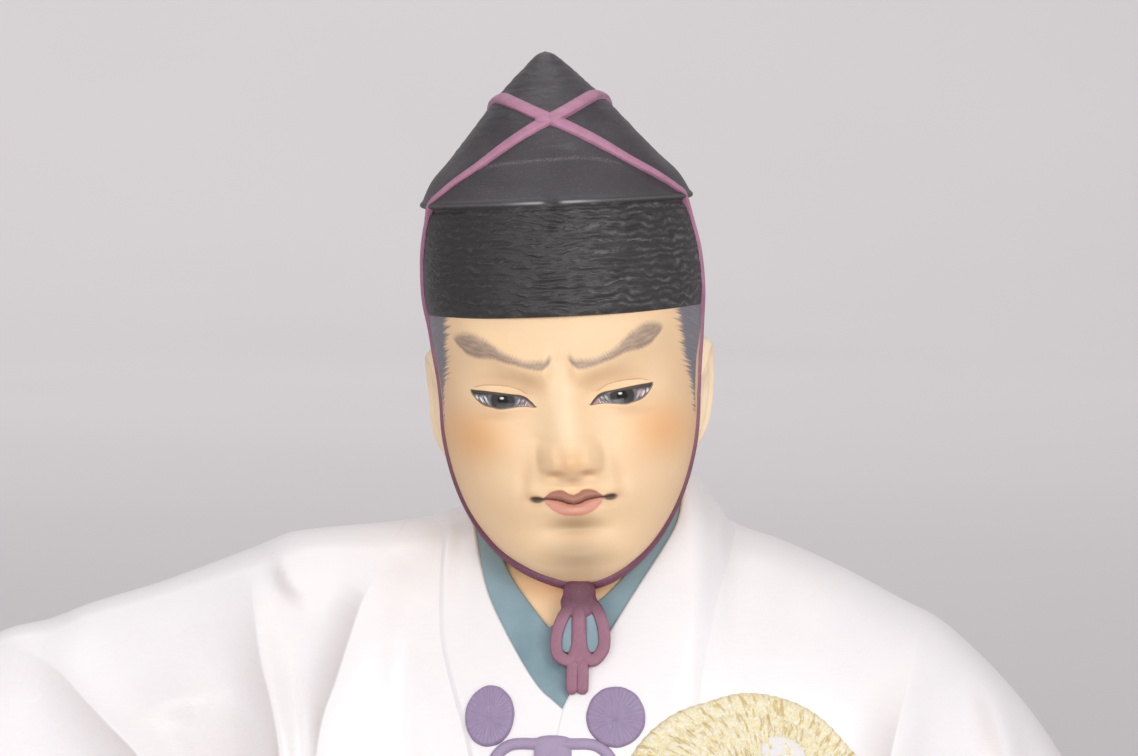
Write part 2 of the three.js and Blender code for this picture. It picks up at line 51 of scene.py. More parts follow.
def curve(*knots):
    """A smooth curve y(x) through the knots, level beyond its ends"""
    xs, ys = np.array(knots, float).T
    chords = np.diff(ys) / np.diff(xs)
    before, after = chords[:-1], chords[1:]
    turns = before * after <= 0
    inner = np.where(turns, 0, 2 * before * after / np.where(turns, 1, before + after))
    slopes = np.concatenate([chords[:1], inner, chords[-1:]])

    def value(x):
        x = np.clip(x, xs[0], xs[-1])
        i = np.clip(np.searchsorted(xs, x, side="right") - 1, 0, len(xs) - 2)
        span = xs[i + 1] - xs[i]
        t = (x - xs[i]) / span
        rise = (3 - 2 * t) * t * t
        lead = t * (1 - t) ** 2
        trail = t * t * (1 - t)
        return ys[i] * (1 - rise) + ys[i + 1] * rise + span * (slopes[i] * lead - slopes[i + 1] * trail)

    return value


def curve_mm(*knots):
    """A curve whose values are given in millimetres"""
    return curve(*[(x, value * MM) for x, value in knots])


def smoothstep(x, low, high):
    t = np.clip((x - low) / (high - low), 0, 1)
    return t * t * (3 - 2 * t)


def between(x, start, full, fading, end):
    """0 up to start, 1 from full to fading, 0 from end"""
    return smoothstep(x, start, full) * (1 - smoothstep(x, fading, end))


def power(value, exponent):
    return np.sign(value) * np.abs(value) ** exponent


def bell(offset):
    return np.exp(-np.square(offset))


def bump(x, z, rx, rz):
    """A rounded bump of height 1 in the middle, about one radius wide to each side"""
    return bell(x / rx) * bell(z / rz)


def normalized(vectors):
    return vectors / np.maximum(np.linalg.norm(vectors, axis=-1, keepdims=True), 1e-12)


LATTICE_SIZE = 32
LATTICE = np.random.default_rng(11).random((LATTICE_SIZE,) * 3) * 2 - 1


def noise(*axes):
    """Smooth noise from -1 to 1 in space, with about one swell per unit"""
    whole = [np.floor(axis).astype(int) for axis in axes]
    share = [axis - low for axis, low in zip(axes, whole)]
    share = [t * t * (3 - 2 * t) for t in share]
    total = 0
    for corner in np.ndindex(2, 2, 2):
        cell = tuple((low + step) % LATTICE_SIZE for low, step in zip(whole, corner))
        weight = 1
        for t, step in zip(share, corner):
            weight = weight * (t if step else 1 - t)
        total = total + LATTICE[cell] * weight
    return total


def spline(points, count, closed=False):
    """Evenly spaced places along a smooth line through the points, a centripetal Catmull-Rom spline"""
    knots = np.array(points, float)
    if closed:
        knots = np.vstack([knots[-1], knots, knots[:2]])
    else:
        knots = np.vstack([2 * knots[0] - knots[1], knots, 2 * knots[-1] - knots[-2]])
    pieces = []
    for a, b, c, d in zip(knots, knots[1:], knots[2:], knots[3:]):
        t1 = np.linalg.norm(b - a) ** 0.5
        t2 = t1 + np.linalg.norm(c - b) ** 0.5
        t3 = t2 + np.linalg.norm(d - c) ** 0.5
        t = np.linspace(t1, t2, 24, endpoint=False)[:, None]
        ab = (a * (t1 - t) + b * t) / t1
        bc = (b * (t2 - t) + c * (t - t1)) / (t2 - t1)
        cd = (c * (t3 - t) + d * (t - t2)) / (t3 - t2)
        abc = (ab * (t2 - t) + bc * t) / t2
        bcd = (bc * (t3 - t) + cd * (t - t1)) / (t3 - t1)
        pieces.append((abc * (t2 - t) + bcd * (t - t1)) / (t2 - t1))
    line = np.vstack([*pieces, knots[-2]])
    along = np.concatenate([[0], np.cumsum(np.linalg.norm(np.diff(line, axis=0), axis=1))])
    wanted = np.linspace(0, along[-1], count + 1 if closed else count)[: count]
    return np.stack([np.interp(wanted, along, column) for column in line.T], axis=1)


def stroke(x, z, points, heights, wide, crest=False):
    """Relief along a line on the front: its height there, falling off over the widths wide, the first of them
    to the right or above. With a crest the line is a sharp ridge that is steep on its other side."""
    line = spline([(*point, height) for point, height in zip(points, heights)], 4 * len(points))
    best = np.full(np.shape(x), 1e9)
    relief = np.zeros(np.shape(x))
    for (ax, az, ah), (bx, bz, bh) in zip(line, line[1:]):
        ux, uz = bx - ax, bz - az
        t = np.clip(((x - ax) * ux + (z - az) * uz) / (ux * ux + uz * uz), 0, 1)
        dx, dz = x - ax - t * ux, z - az - t * uz
        away = np.hypot(dx, dz)
        above = ux * dz - uz * dx > 0
        fall = bell(away / np.where(above, wide[0], wide[1]))
        if crest:
            fall = np.where(above, fall, np.maximum(1 - away / wide[1], 0) ** 2)
        nearer = away < best
        best = np.where(nearer, away, best)
        relief = np.where(nearer, (ah + (bh - ah) * t) * fall, relief)
    return relief


# Meshes

SHARP_ANGLE = math.radians(40)


def facing_out(points, faces):
    """The points and faces of a closed shell, with the faces turned to look outwards"""
    corners = np.array([face[:3] for face in faces] + [(f[0], f[2], f[3]) for f in faces if len(f) == 4])
    a, b, c = points[corners[:, 0]], points[corners[:, 1]], points[corners[:, 2]]
    if np.einsum("ij,ij->i", a, np.cross(b, c)).sum() < 0:
        faces = [face[::-1] for face in faces]
    return points, faces


def linked(name, data):
    """A new object in the scene"""
    made = bpy.data.objects.new(name, data)
    bpy.context.scene.collection.objects.link(made)
    return made


def mesh_object(name, points, faces, material):
    mesh = bpy.data.meshes.new(name)
    mesh.from_pydata((points * UNIT).tolist(), [], [tuple(int(i) for i in face) for face in faces])
    mesh.materials.append(material)
    mesh.shade_smooth()
    mesh.set_sharp_from_angle(angle=SHARP_ANGLE)
    return linked(name, mesh)


def lattice_faces(rows, columns, closed_rows=False):
    """Quads of a grid whose columns close on themselves"""
    row, column = np.meshgrid(np.arange(rows if closed_rows else rows - 1), np.arange(columns), indexing="ij")
    after_row, after_column = (row + 1) % rows, (column + 1) % columns
    corners = [row * columns + column, row * columns + after_column]
    corners += [after_row * columns + after_column, after_row * columns + column]
    return np.stack(corners, axis=-1).reshape(-1, 4).tolist()


def shell(rows, first, last):
    """Points and faces of a closed shell from rows of rings, with a pole at each end"""
    count, columns = rows.shape[:2]
    points = np.vstack([rows.reshape(-1, 3), first, last])
    faces = lattice_faces(count, columns)
    low, high = count * columns, count * columns + 1
    for i in range(columns):
        j = (i + 1) % columns
        faces.append([low, j, i])
        faces.append([high, (count - 1) * columns + i, (count - 1) * columns + j])
    return facing_out(points, faces)


def angles_round(columns):
    """A row of evenly spaced angles, once round"""
    return TURN * np.arange(columns)[None, :] / columns


def together(*parts):
    """Several closed shells as one set of points and faces"""
    points, faces, start = [], [], 0
    for some_points, some_faces in parts:
        points.append(some_points)
        faces += [[start + i for i in face] for face in some_faces]
        start += len(some_points)
    return np.vstack(points), faces


def normals_of(rows):
    """Outward directions on rows of closed rings"""
    around = np.roll(rows, -1, axis=1) - np.roll(rows, 1, axis=1)
    along = np.gradient(rows, axis=0)
    return normalized(np.cross(around, along))


def tube(path, outward, width, proud, seat, rows, sides=12, closed=False, square=0.8, blunt=1):
    """A cord on the surface. Its width and how far it stands proud are numbers, or functions of its height z.
    The smaller blunt is, the squarer are its ends."""
    places = spline(path, rows, closed)
    if closed:
        tangent = np.roll(places, -1, axis=0) - np.roll(places, 1, axis=0)
    else:
        tangent = np.gradient(places, axis=0)
    tangent = normalized(tangent)
    across = normalized(np.cross(tangent, outward(places)))
    normal = normalized(np.cross(across, tangent))
    wide, high = (size(places[:, 2]) if callable(size) else np.full(rows, size) for size in (width, proud))
    angle = TURN * (np.arange(sides) + 0.5) / sides
    side = power(np.cos(angle), square)[None, :, None]
    lift = power(np.sin(angle), square)
    rise = np.where(lift > 0, lift * high[:, None], lift * seat)
    size = np.ones((rows, 1, 1))
    if not closed:
        steps = np.concatenate([[0], np.cumsum(np.linalg.norm(np.diff(places, axis=0), axis=1))])
        from_end = np.minimum(steps, steps[-1] - steps) + 0.02
        share = np.clip(from_end / (0.5 * blunt * wide), 0, 1)
        size = np.sqrt(1 - (1 - share) ** 2)[:, None, None]
    rings = places[:, None] + across[:, None] * wide[:, None, None] / 2 * side * size
    rings = rings + normal[:, None] * rise[..., None] * size
    if closed:
        return facing_out(rings.reshape(-1, 3), lattice_faces(rows, sides, closed_rows=True))
    return shell(rings, places[0], places[-1])


# The robe: a dome over the base, from the end of the raised sleeve on the left to the arm on the right

ROBE_LEFT, ROBE_RIGHT, ROBE_POWER = -76, 64, 2.3
robe_top = curve(
    (-76, 0), (-75.4, 12), (-73.4, 24), (-70, 30.4), (-66, 32.9), (-61.5, 33.9), (-57, 35.6), (-48.7, 38.1),
    (-37.5, 42.2), (-32.6, 44), (-20.8, 45), (-13.6, 45.9), (-10, 47.6), (0, 50.6), (8, 51.4), (13, 50.9),
    (16.1, 47.3), (18.6, 44.8), (24, 42.9), (31.5, 39.6), (38.7, 35.8), (42.3, 34), (47.6, 29.5),
    (53.1, 23.4), (57.2, 17.4), (61.5, 9), (64, 0),
)
robe_front = curve(
    (-76, -4), (-75.4, -8), (-73, -12), (-66, -14.5), (-50, -17.5), (-30, -21), (-10, -24), (8, -24.4),
    (28, -22.5), (42, -19.5), (53, -14.5), (60, -8.5), (64, -2),
)
robe_back = curve(
    (-76, -3), (-75.4, 1), (-73, 5), (-66, 8.5), (-50, 12), (-30, 17), (0, 22), (28, 19.5), (42, 16.5),
    (53, 12), (60, 6.5), (64, -1),
)
robe_ridge = curve(
    (-76, -3.5), (-66, -2), (-40, 0), (-22, 3), (-9, 9), (9, 9), (22, 3.5), (40, 1), (64, -1.5),
)

# Each fold: places (x, z) from the top down or from left to right, heights there, widths to both sides, and
# whether it has a sharp crest
FRONT_FOLDS = [
    # The raised sleeve
    ([(-66.4, 31.4), (-62.6, 30.6), (-59.2, 28.9), (-56, 26), (-52.6, 22.8), (-49.4, 19.6), (-45, 9),
      (-43, 0)],
     [0, 1, 1.8, 2.4, 2.7, 2.7, 2.1, 1.5], (3.4, 9), True),
    # The hollow in the middle of the arm
    ([(-37.7, 41.4), (-37.1, 37.6), (-36.4, 34.2), (-35.6, 30.3), (-34.4, 26.2), (-33.4, 20.3), (-33.4, 10),
      (-34, 0)],
     [0.3, 1.4, 2.2, 2.6, 2.8, 2.8, 2.2, 1.6], (2.2, 8.5), True),
    # The deep fold from the left shoulder
    ([(-21.4, 42.4), (-23, 39.5), (-24.2, 37.4), (-25.8, 32.7), (-27.2, 28.3), (-28.4, 25), (-29.2, 20.5),
      (-30.4, 0)],
     [0.4, 2.1, 2.8, 3, 3, 2.8, 2.3, 1.7], (5.5, 5.4), True),
    # The right arm
    ([(39.9, 34.2), (39.2, 31), (37.8, 27), (36.6, 23.5), (35.6, 19.5), (34.6, 10), (33.6, 0)],
     [0.2, 1.6, 2.4, 2.8, 2.8, 2.2, 1.5], (3.6, 6), True),
    # The small hook under the shoulder
    ([(-32.6, 43.6), (-33.2, 41.6), (-32.7, 39.9), (-31, 38.4), (-28, 37.4)],
     [0, 1.3, 1.9, 1.6, 0], (3, 1.9)),
    # Soft swells and hollows
    ([(-53, 24.4), (-48, 25.6), (-44, 26.8), (-41, 29.4)], [0, 1, 1.2, 0], (2.6, 2.4)),
    ([(46.4, 30), (48, 26), (49.6, 20), (50.4, 8), (50.6, 0)], [0, 1.3, 1.8, 1.6, 1], (2.2, 2.4)),
    ([(24, 42), (25, 36), (25.5, 31)], [0, -0.6, 0], (3, 3)),
    ([(-19, 43), (-19.6, 35), (-19.5, 25), (-19, 10)], [0, -0.6, -0.7, -0.4], (2, 2.4)),
]
BACK_FOLDS = [
    ([(-20, 40), (-27, 22), (-34, 0)], [0, -1.2, -1.6], (3, 5)),
    ([(-44, 34), (-47, 18), (-49, 0)], [0, -0.9, -1.1], (3, 3)),
    ([(1, 43), (2.5, 22), (4, 0)], [0, -0.9, -1.2], (3, 4)),
    ([(24, 38), (31, 18), (36, 0)], [0, -1.2, -1.5], (5, 3)),
    ([(44, 30), (46, 14), (47, 0)], [0, -0.6, -0.8], (2, 2)),
]


def fold_relief(folds, x, z):
    return sum(stroke(x, z, *fold) for fold in folds)


def robe_face(x, z):
    """How far forward the robe's front lies at x and z"""
    height = np.clip(z / robe_top(x), 0, 1)
    forward = (1 - height**ROBE_POWER) ** (1 / ROBE_POWER)
    return robe_ridge(x) + (robe_front(x) - robe_ridge(x) - fold_relief(FRONT_FOLDS, x, z)) * forward


def robe_normal(x, z):
    """The outward direction of the robe's front at x and z"""
    step = 0.4
    by_x = (robe_face(x + step, z) - robe_face(x - step, z)) / (2 * step)
    by_z = (robe_face(x, z + step) - robe_face(x, z - step)) / (2 * step)
    return normalized(np.stack([by_x, -np.ones_like(by_x), by_z], axis=-1))


def arch_height(x, angle):
    """The level of the dome at x, by the angle from its front foot over the ridge"""
    return robe_top(x) * np.maximum(np.sin(angle), 0) ** (2 / ROBE_POWER)


def arch_place(x, angle):
    """A place on the dome at x, by the angle from its front foot over the ridge to its back foot"""
    x, angle = np.broadcast_arrays(np.asarray(x, float), np.asarray(angle, float))
    z = arch_height(x, angle)
    out = np.abs(np.cos(angle)) ** (2 / ROBE_POWER)
    forward = np.cos(angle) > 0
    reach = np.where(forward, robe_front(x), robe_back(x))
    relief = np.where(forward, -fold_relief(FRONT_FOLDS, x, z), fold_relief(BACK_FOLDS, x, z))
    return np.stack([x, robe_ridge(x) + (reach - robe_ridge(x) + relief) * out, z], axis=-1)


def arch_lifted(x, angle, lift):
    """A place that stands off the dome by lift"""
    step = 0.02
    by_x = arch_place(x + 12 * step, angle) - arch_place(x - 12 * step, angle)
    by_angle = arch_place(x, angle + step) - arch_place(x, angle - step)
    normal = normalized(np.cross(by_x, by_angle))
    return arch_place(x, angle) + normal * lift[..., None]


def front_angle(x, z):
    """The dome's angle at a place x, z of its front"""
    height = np.clip(z / robe_top(x), 0, 1)
    return np.arcsin(height ** (ROBE_POWER / 2))


robe_stations = curve(
    (0, -76), (0.03, -75), (0.1, -69), (0.36, -36), (0.5, -14), (0.66, 10), (0.8, 32), (0.97, 61), (1, 64),
)

# The mesh follows the long crests where they are steep, so that they stay crisp. Each of them starts at one
# of its fold's places
CREST_STARTS = (2, 0, 0, 0)
CREST_LINES = [spline(fold[0][start:], 30) for start, fold in zip(CREST_STARTS, FRONT_FOLDS)]
FOLD_LEVEL = 28
FOLD_OFFSETS = np.array([0.08, 0.2, 0.34, 0.52, 0.75])


def fold_x(line, z):
    """Where a crest lies at a level"""
    return np.interp(z, line[::-1, 1], line[::-1, 0])


def robe_columns():
    """Stations across the robe, closer together at the crests"""
    stations = robe_stations(np.linspace(0, 1, 402)[1:-1])
    for line in CREST_LINES:
        middle = fold_x(line, FOLD_LEVEL)
        stations = stations[np.abs(stations - middle) > FOLD_OFFSETS[-1] + 0.1]
        stations = np.concatenate([stations, middle - FOLD_OFFSETS, [middle], middle + FOLD_OFFSETS])
    return np.sort(stations)


def robe_drift(stations, z):
    """The x of each station at a level, led along the folds"""
    def posts(level):
        crests = [fold_x(line, level) for line in CREST_LINES]
        return [ROBE_LEFT, *crests[:3], 0, crests[3], ROBE_RIGHT]

    at_fold_level, at_z = posts(np.full_like(z, FOLD_LEVEL)), posts(z)
    x = np.zeros_like(z)
    for a, b, xa, xb in zip(at_fold_level, at_fold_level[1:], at_z, at_z[1:]):
        x = np.where((stations >= a) & (stations <= b), xa + (xb - xa) * (stations - a) / (b - a), x)
    return x


def robe_dome():
    share = np.concatenate([np.linspace(0, 0.5, 150, endpoint=False), np.linspace(0.5, 1, 44)])
    angles = (math.pi * (share - 0.06 * np.sin(TURN * share)))[None, :]
    stations = robe_columns()[:, None]
    x = stations + 0 * angles
    for _ in range(6):
        z = arch_height(x, np.minimum(angles, math.pi / 2))
        x = robe_drift(stations, z)
    arch = arch_place(x, angles)
    under = np.linspace(1, 0, 7)[1:-1][None, :, None]
    base = arch[:, :1] * (1 - under) + arch[:, -1:] * under
    rows = np.concatenate([arch, base], axis=1)
    ends = [np.array([end, float(robe_ridge(end)), 0.0]) for end in (ROBE_LEFT, ROBE_RIGHT)]
    return shell(rows, *ends)


# The opening of the robe and the bands beside it. A station of a band holds its inner and its outer edge. Up
# the left and down the right they are x and z seen from the front, between these x and degrees over the ridge

OPENING = [(-12.9, 60), (-12.9, 50), (-12.4, 45), (-11.6, 41.2), (-10.6, 37.8), (-8.9, 34.4), (-6.4, 30.3),
           (-4.2, 27.4), (-1.5, 24.8), (2.4, 28), (5.2, 34.4), (6.8, 37.2), (8.5, 39.7), (10.7, 42.8),
           (12.5, 45.7), (13.2, 48.3), (13.3, 60)]
OPENING_FRONT, OPENING_BACK, OPENING_MIDDLE = -30, 11.8, 45

ROBE_BAND = (
    [(-4.3, 0.3, -11, 0.3), (-3.6, 8, -11.3, 8), (-2.6, 16, -11.8, 16), (0.6, 22.5, -12.9, 22.5),
     (-0.7, 24.9, -13.6, 25), (-2.4, 26.5, -14.2, 27), (-3.9, 27.8, -15, 30), (-5.7, 30.3, -15.6, 32.6),
     (-8.1, 34.4, -15.9, 36), (-9.8, 37.8, -15.9, 39), (-10.8, 41.2, -15.8, 42), (-11.5, 44.6, -16, 44.6)],
    [(-12.2, 84, -17.3, 86), (-11.6, 95, -17.4, 101), (-8.6, 98.5, -13, 114), (-4, 99, -6, 119),
     (0, 99, 0, 120), (4, 99, 6.5, 119), (8.8, 98, 13.5, 112), (11.9, 94, 18, 99), (12.6, 82, 19.6, 84)],
    [(12.3, 48, 19.3, 43), (11.5, 45.3, 18.5, 40.5), (9.9, 42.8, 17.8, 38.4), (7.7, 39.7, 17, 35.6),
     (6, 37.2, 16.4, 33), (4.2, 34.5, 15.8, 30.4), (1.1, 29.8, 15.3, 27.4), (-1.3, 26, 15, 25),
     (-2.2, 22.8, 14.8, 22), (-3.5, 17, 14.6, 16.5), (-4.5, 8, 14.6, 8), (-5, 0.3, 14.6, 0.3)],
)
COLLAR_BAND = (
    [(2.6, 25.8, -6, 23.6), (1.2, 30, -8.2, 28), (-1.2, 32.8, -9.9, 31), (-3.2, 34.9, -11.6, 34.4),
     (-5.6, 37.8, -12.9, 37.4), (-7.4, 40.2, -13.6, 40.6), (-8.4, 42.1, -14, 42.8),
     (-9.5, 44.4, -14.2, 45)],
    [(-10.6, 84, -14.4, 86), (-10, 92, -13.8, 98), (-7, 94.5, -9, 104), (0, 95, 0, 106), (7, 94.5, 9, 104),
     (10.3, 92, 14.2, 97), (11, 84, 14.8, 85)],
    [(10.6, 47, 15, 48), (8.8, 44, 14.4, 45.3), (6.6, 41.5, 13.2, 42.4), (4.8, 39.5, 11.8, 39.8),
     (2.6, 37.6, 10, 37), (-0.2, 36.2, 8.4, 34), (-1.8, 35.3, 5.6, 30.4), (-3.2, 34.5, 0.4, 28.2)],
)
# Angles over the ridge count as the length of the arch, so that a band's rows are evenly spaced
ARCH_LENGTH = 45
BAND_CORNER, BAND_SINK = 0.45, 0.12


def band(stations, rows, proud, seat, soft):
    """A band on the dome, with a crisp rounded inner edge and a soft outer edge. Its height is proud(t), and
    the soft edge is soft(t) wide"""
    left, over, right = (np.array(part, float) for part in stations)
    for part in (left, right):
        part[:, 1::2] = front_angle(part[:, ::2], part[:, 1::2])
    over[:, 1::2] = np.radians(over[:, 1::2])
    scale = np.array([1, ARCH_LENGTH, 1, ARCH_LENGTH])
    line = spline(np.vstack([left, over, right]) * scale, rows) / scale
    inner, outer = line[:, :2], line[:, 2:]
    wide = np.linalg.norm((outer - inner) * scale[:2], axis=1)[:, None]
    t = np.linspace(0, 1, rows)[:, None]
    height = proud(t)
    low = height - np.minimum(BAND_CORNER, np.abs(height) + seat / 2)
    edge = np.minimum(BAND_CORNER / wide, 0.3)
    fade = np.minimum(soft(t) / wide, 0.45)
    turn = np.linspace(0, math.pi / 2, 6)[None, :]
    flat = np.linspace(0, 1, 14)[None, 1:-1]
    down = np.linspace(0, 1, 10)[None, :]
    fallen = smoothstep(down, 0, 1)
    under = np.linspace(0, 1, 4)[None, :]
    back = np.linspace(1, 0, 5)[None, 1:]
    # The share of the way across and the lift off the dome, once round the band
    profile = [
        (edge * (1 - np.cos(turn)), low + (height - low) * np.sin(turn)),
        (edge + (1 - fade - edge) * flat, height + 0 * flat),
        (1 - fade + fade * down, height * (1 - fallen) - BAND_SINK * fallen),
        (1 + 0 * wide * under, 0 * wide - BAND_SINK - (seat - BAND_SINK) * under),
        (back + 0 * wide, 0 * wide * back - seat),
    ]
    share, lift = (np.concatenate(part, axis=1) for part in zip(*profile))
    places = inner[:, None] * (1 - share[..., None]) + outer[:, None] * share[..., None]
    rings = arch_lifted(places[..., 0], places[..., 1], lift)
    return shell(rings, rings[0].mean(axis=0), rings[-1].mean(axis=0))


# Slices of the head and hat by z: half width, the y of front, middle and back, and how square they are

HEAD_CENTRE, JAW_HALF, JAW_DROP, HEAD_LOWEST, HEAD_TOP = 60, 14.9, 21, 39, 76
temple_half = curve((60, 14.9), (64, 15.2), (67, 15.6), (70, 15.8), (76, 15.8))


def head_half(z):
    jaw = JAW_HALF * np.sqrt(np.maximum(1 - ((HEAD_CENTRE - z) / JAW_DROP) ** 2, 0))
    return np.where(z < HEAD_CENTRE, jaw, temple_half(z))


HEAD = SimpleNamespace(
    half=head_half,
    front=curve(
        (39, -15), (39.3, -17), (40.2, -18.9), (41.5, -20.1), (43.3, -20.6), (46, -20.3), (50, -20.8),
        (54, -20.5), (58, -20.1), (62, -20.1), (66, -20.3), (70, -19.8), (76, -18.4),
    ),
    middle=curve((39, -15), (42, -11.8), (45, -9), (48, -7), (52, -5), (56, -3.8), (60, -3), (70, -2)),
    back=curve(
        (39, -15), (39.6, -10), (41, -5), (44, 1), (48, 7), (52, 11), (58, 15), (64, 17.5), (70, 18.6),
        (76, 18.4),
    ),
    power=2.2,
)
HAT_RIM, HAT_PEAK = 70.05, 100.15
HAT = SimpleNamespace(
    half=curve(
        (HAT_RIM, 15.95), (73, 16.3), (77, 16.1), (80, 15.7), (82.2, 15.35), (82.9, 15.62), (83.4, 15.5),
        (85.4, 14.5), (88, 12.1), (91, 9.5), (94, 6.9), (96, 5), (97.9, 3.1), (99.2, 1.7), (99.9, 0.8),
        (HAT_PEAK, 0),
    ),
    front=curve(
        (HAT_RIM, -20.6), (74, -20.4), (80, -19.9), (82.2, -19.7), (83.2, -19), (85, -17.6), (87.8, -15.8),
        (92.7, -12.9), (96, -9.9), (98.5, -7.2), (99.7, -5.6), (HAT_PEAK, -3.8),
    ),
    middle=curve((HAT_RIM, -2), (83, -1.5), (92, -2.5), (HAT_PEAK, -3.8)),
    back=curve(
        (HAT_RIM, 19.3), (76, 19.8), (82.4, 19.4), (82.8, 20.2), (86, 18.8), (90, 15.4), (95, 9), (98.5, 3),
        (99.8, -1.5), (HAT_PEAK, -3.8),
    ),
    power=2.1,
)
MIDLINE = [(40, 0.2), (49, -0.2), (54, -0.2), (61, -0.6), (70, -0.5), (83, 0)]
midline = curve(*MIDLINE, (92, 0.4), (100, 0.3))
flanks = curve(
    (41, -0.9), (45, -0.6), (48.5, -0.4), (53, -0.15), (57, 0.1), (62, 0.45), (75, 0.55), (83, 0.4),
    (100, 0.4),
)

# The head leans a little to the onlooker's left, and its level lines rise a little to the right
LEAN, LEVEL, LEAN_PIVOT = math.radians(4.4), math.radians(2.4), 50


def lean(places):
    x, y, z = places[..., 0], places[..., 1], places[..., 2]
    up = z - LEAN_PIVOT
    leaned = x * math.cos(LEVEL) - up * math.sin(LEAN)
    return np.stack([leaned, y, LEAN_PIVOT + up * math.cos(LEAN) + x * math.sin(LEVEL)], axis=-1)


def slice_place(form, angle, z, relief=None):
    """A place on the head or hat before it leans, by the angle from the front, with relief along y"""
    angle, z = np.broadcast_arrays(np.asarray(angle, float), np.asarray(z, float))
    across = power(np.sin(angle), 2 / form.power)
    along = power(np.cos(angle), 2 / form.power)
    x = form.half(z) * across
    reach = np.where(along > 0, form.front(z), form.back(z))
    y = form.middle(z) + (reach - form.middle(z)) * np.abs(along)
    drift = flanks(z) + (midline(z) - flanks(z)) * along * smoothstep(form.half(z), 0, 4)
    if relief is not None:
        y = y - relief(x, z) * smoothstep(along, 0, 0.35)
    return np.stack([x + drift, y, z], axis=-1)


# The face, by the distance from its midline and by z

nose_height = curve(
    (50.8, 0), (51.4, 0.6), (52.1, 1.8), (53, 2.5), (53.9, 2.7), (55.5, 2.4), (58, 1.8), (60.5, 1.15),
    (63, 0.5), (65, 0),
)
nose_half = curve((51, 2.5), (53.5, 2.9), (56, 2.75), (59, 2.6), (63, 3))
brow_line = curve((0, 64.2), (2.5, 63.9), (6, 65.4), (9, 67), (12, 67.4))
UPPER_LID = [(3.1, 59.95), (3.6, 60.5), (4.6, 61.1), (5.8, 61.25), (7.3, 61.4), (8.9, 61.55), (10.3, 61.7)]
LOWER_LID = [(3.1, 59.9), (4.7, 60.07), (6, 59.95), (7, 59.85), (7.9, 60.03), (8.8, 60.33), (9.5, 60.8),
             (10.3, 61.65)]
LID_CREASE = [(3.9, 61.4), (4.9, 61.95), (5.6, 62.2), (7.1, 62.45), (8.6, 62.5), (9.95, 62.3)]
MOUTH_LINE = [(0, 48.88), (0.7, 49.02), (1.5, 49.32), (3.1, 49.55), (4.9, 49.57)]
LIP_TOP = [(0, 49.95), (0.5, 50.12), (1.5, 50.55), (2.3, 50.42), (3, 50), (3.7, 49.56)]
LIP_LOW = [(0, 47.58), (1.2, 47.68), (2.2, 48.12), (3, 48.8), (3.6, 49.5)]
upper_lid, lower_lid, lid_crease = curve(*UPPER_LID), curve(*LOWER_LID), curve(*LID_CREASE)
mouth_line, lip_top, lip_low = curve(*MOUTH_LINE), curve(*LIP_TOP), curve(*LIP_LOW)
# The plain bumps and hollows: height, distance from the midline, z, and the radii across and up
FACE_BUMPS = [
    # Nose tip, wing creases and nostrils
    (0.8, 0, 53.7, 2, 1.5), (-0.25, 3.7, 54, 0.4, 1.4), (-0.15, 3.2, 56.3, 1, 0.5),
    (-0.9, 1.8, 52.1, 0.9, 0.45),
    # Sockets, eyeballs and cheeks
    (-1.7, 6, 61.3, 3.9, 2.1), (1.25, 6.7, 60.6, 3.3, 1.25), (0.7, 8.6, 56, 3.6, 3.2),
    # Round the mouth, its lower lip and corners, and the groove over it
    (0.6, 0, 49, 4.6, 3.4), (0.75, 0, 48.05, 3.1, 0.85), (-0.4, 4.7, 49.4, 0.8, 0.6),
    (-0.22, 0, 51, 0.55, 0.8), (0.12, 0.95, 50.9, 0.4, 0.7),
    # Chin
    (0.9, 0, 42.8, 3.4, 1.9), (-0.7, 0, 46, 3.2, 0.9),
]


def face_relief(x, z):
    side = np.abs(x)
    bumps = sum(height * bump(side - at, z - level, rx, rz) for height, at, level, rx, rz in FACE_BUMPS)
    in_eye = between(side, 2.8, 3.8, 9.6, 10.8)
    in_mouth = 1 - smoothstep(side, 3.4, 5.4)
    nose = nose_height(z) * np.exp(-((side / nose_half(z)) ** 2.1))
    wing = np.square((side - 2.3) / 1.15) + np.square((z - 53.9) / 1.6)
    wings = 0.8 * np.exp(-(wing**1.4)) * smoothstep(side, 0.4, 2.2)
    brow = 0.9 * between(side, 0.4, 2, 10, 13) * bell((z - brow_line(side)) / 1.7)
    over_lid = smoothstep(z - upper_lid(side), -0.12, 0.1) * bell((z - 61.6) / 1.1)
    crease = bell((z - lid_crease(side)) / 0.2)
    under_lid = bell((z - lower_lid(side) + 0.25) / 0.3)
    lids = in_eye * (0.16 * over_lid - 0.16 * crease + 0.1 * under_lid)
    folds = -0.28 * bell((side - 4.9 - 0.28 * (54 - z)) / 0.8) * bell((z - 52) / 1.9)
    upper_lip = 0.55 * in_mouth * bell((z - (mouth_line(side) + lip_top(side)) / 2) / 0.62)
    in_lips = smoothstep(lip_top(side) - z, -0.12, 0.12) * smoothstep(z - lip_low(side), -0.12, 0.12)
    parting = -0.5 * (1 - smoothstep(side, 4.2, 5.2)) * bell((z - mouth_line(side)) / 0.24)
    return bumps + nose + wings + brow + lids + folds + upper_lip + 0.1 * in_mouth * in_lips + parting


head_levels = curve(
    (0, HEAD_LOWEST), (0.03, 39.15), (0.08, 40), (0.14, 41.4), (0.2, 43.2), (0.9, 66.5), (0.97, 70),
    (1, HEAD_TOP),
)


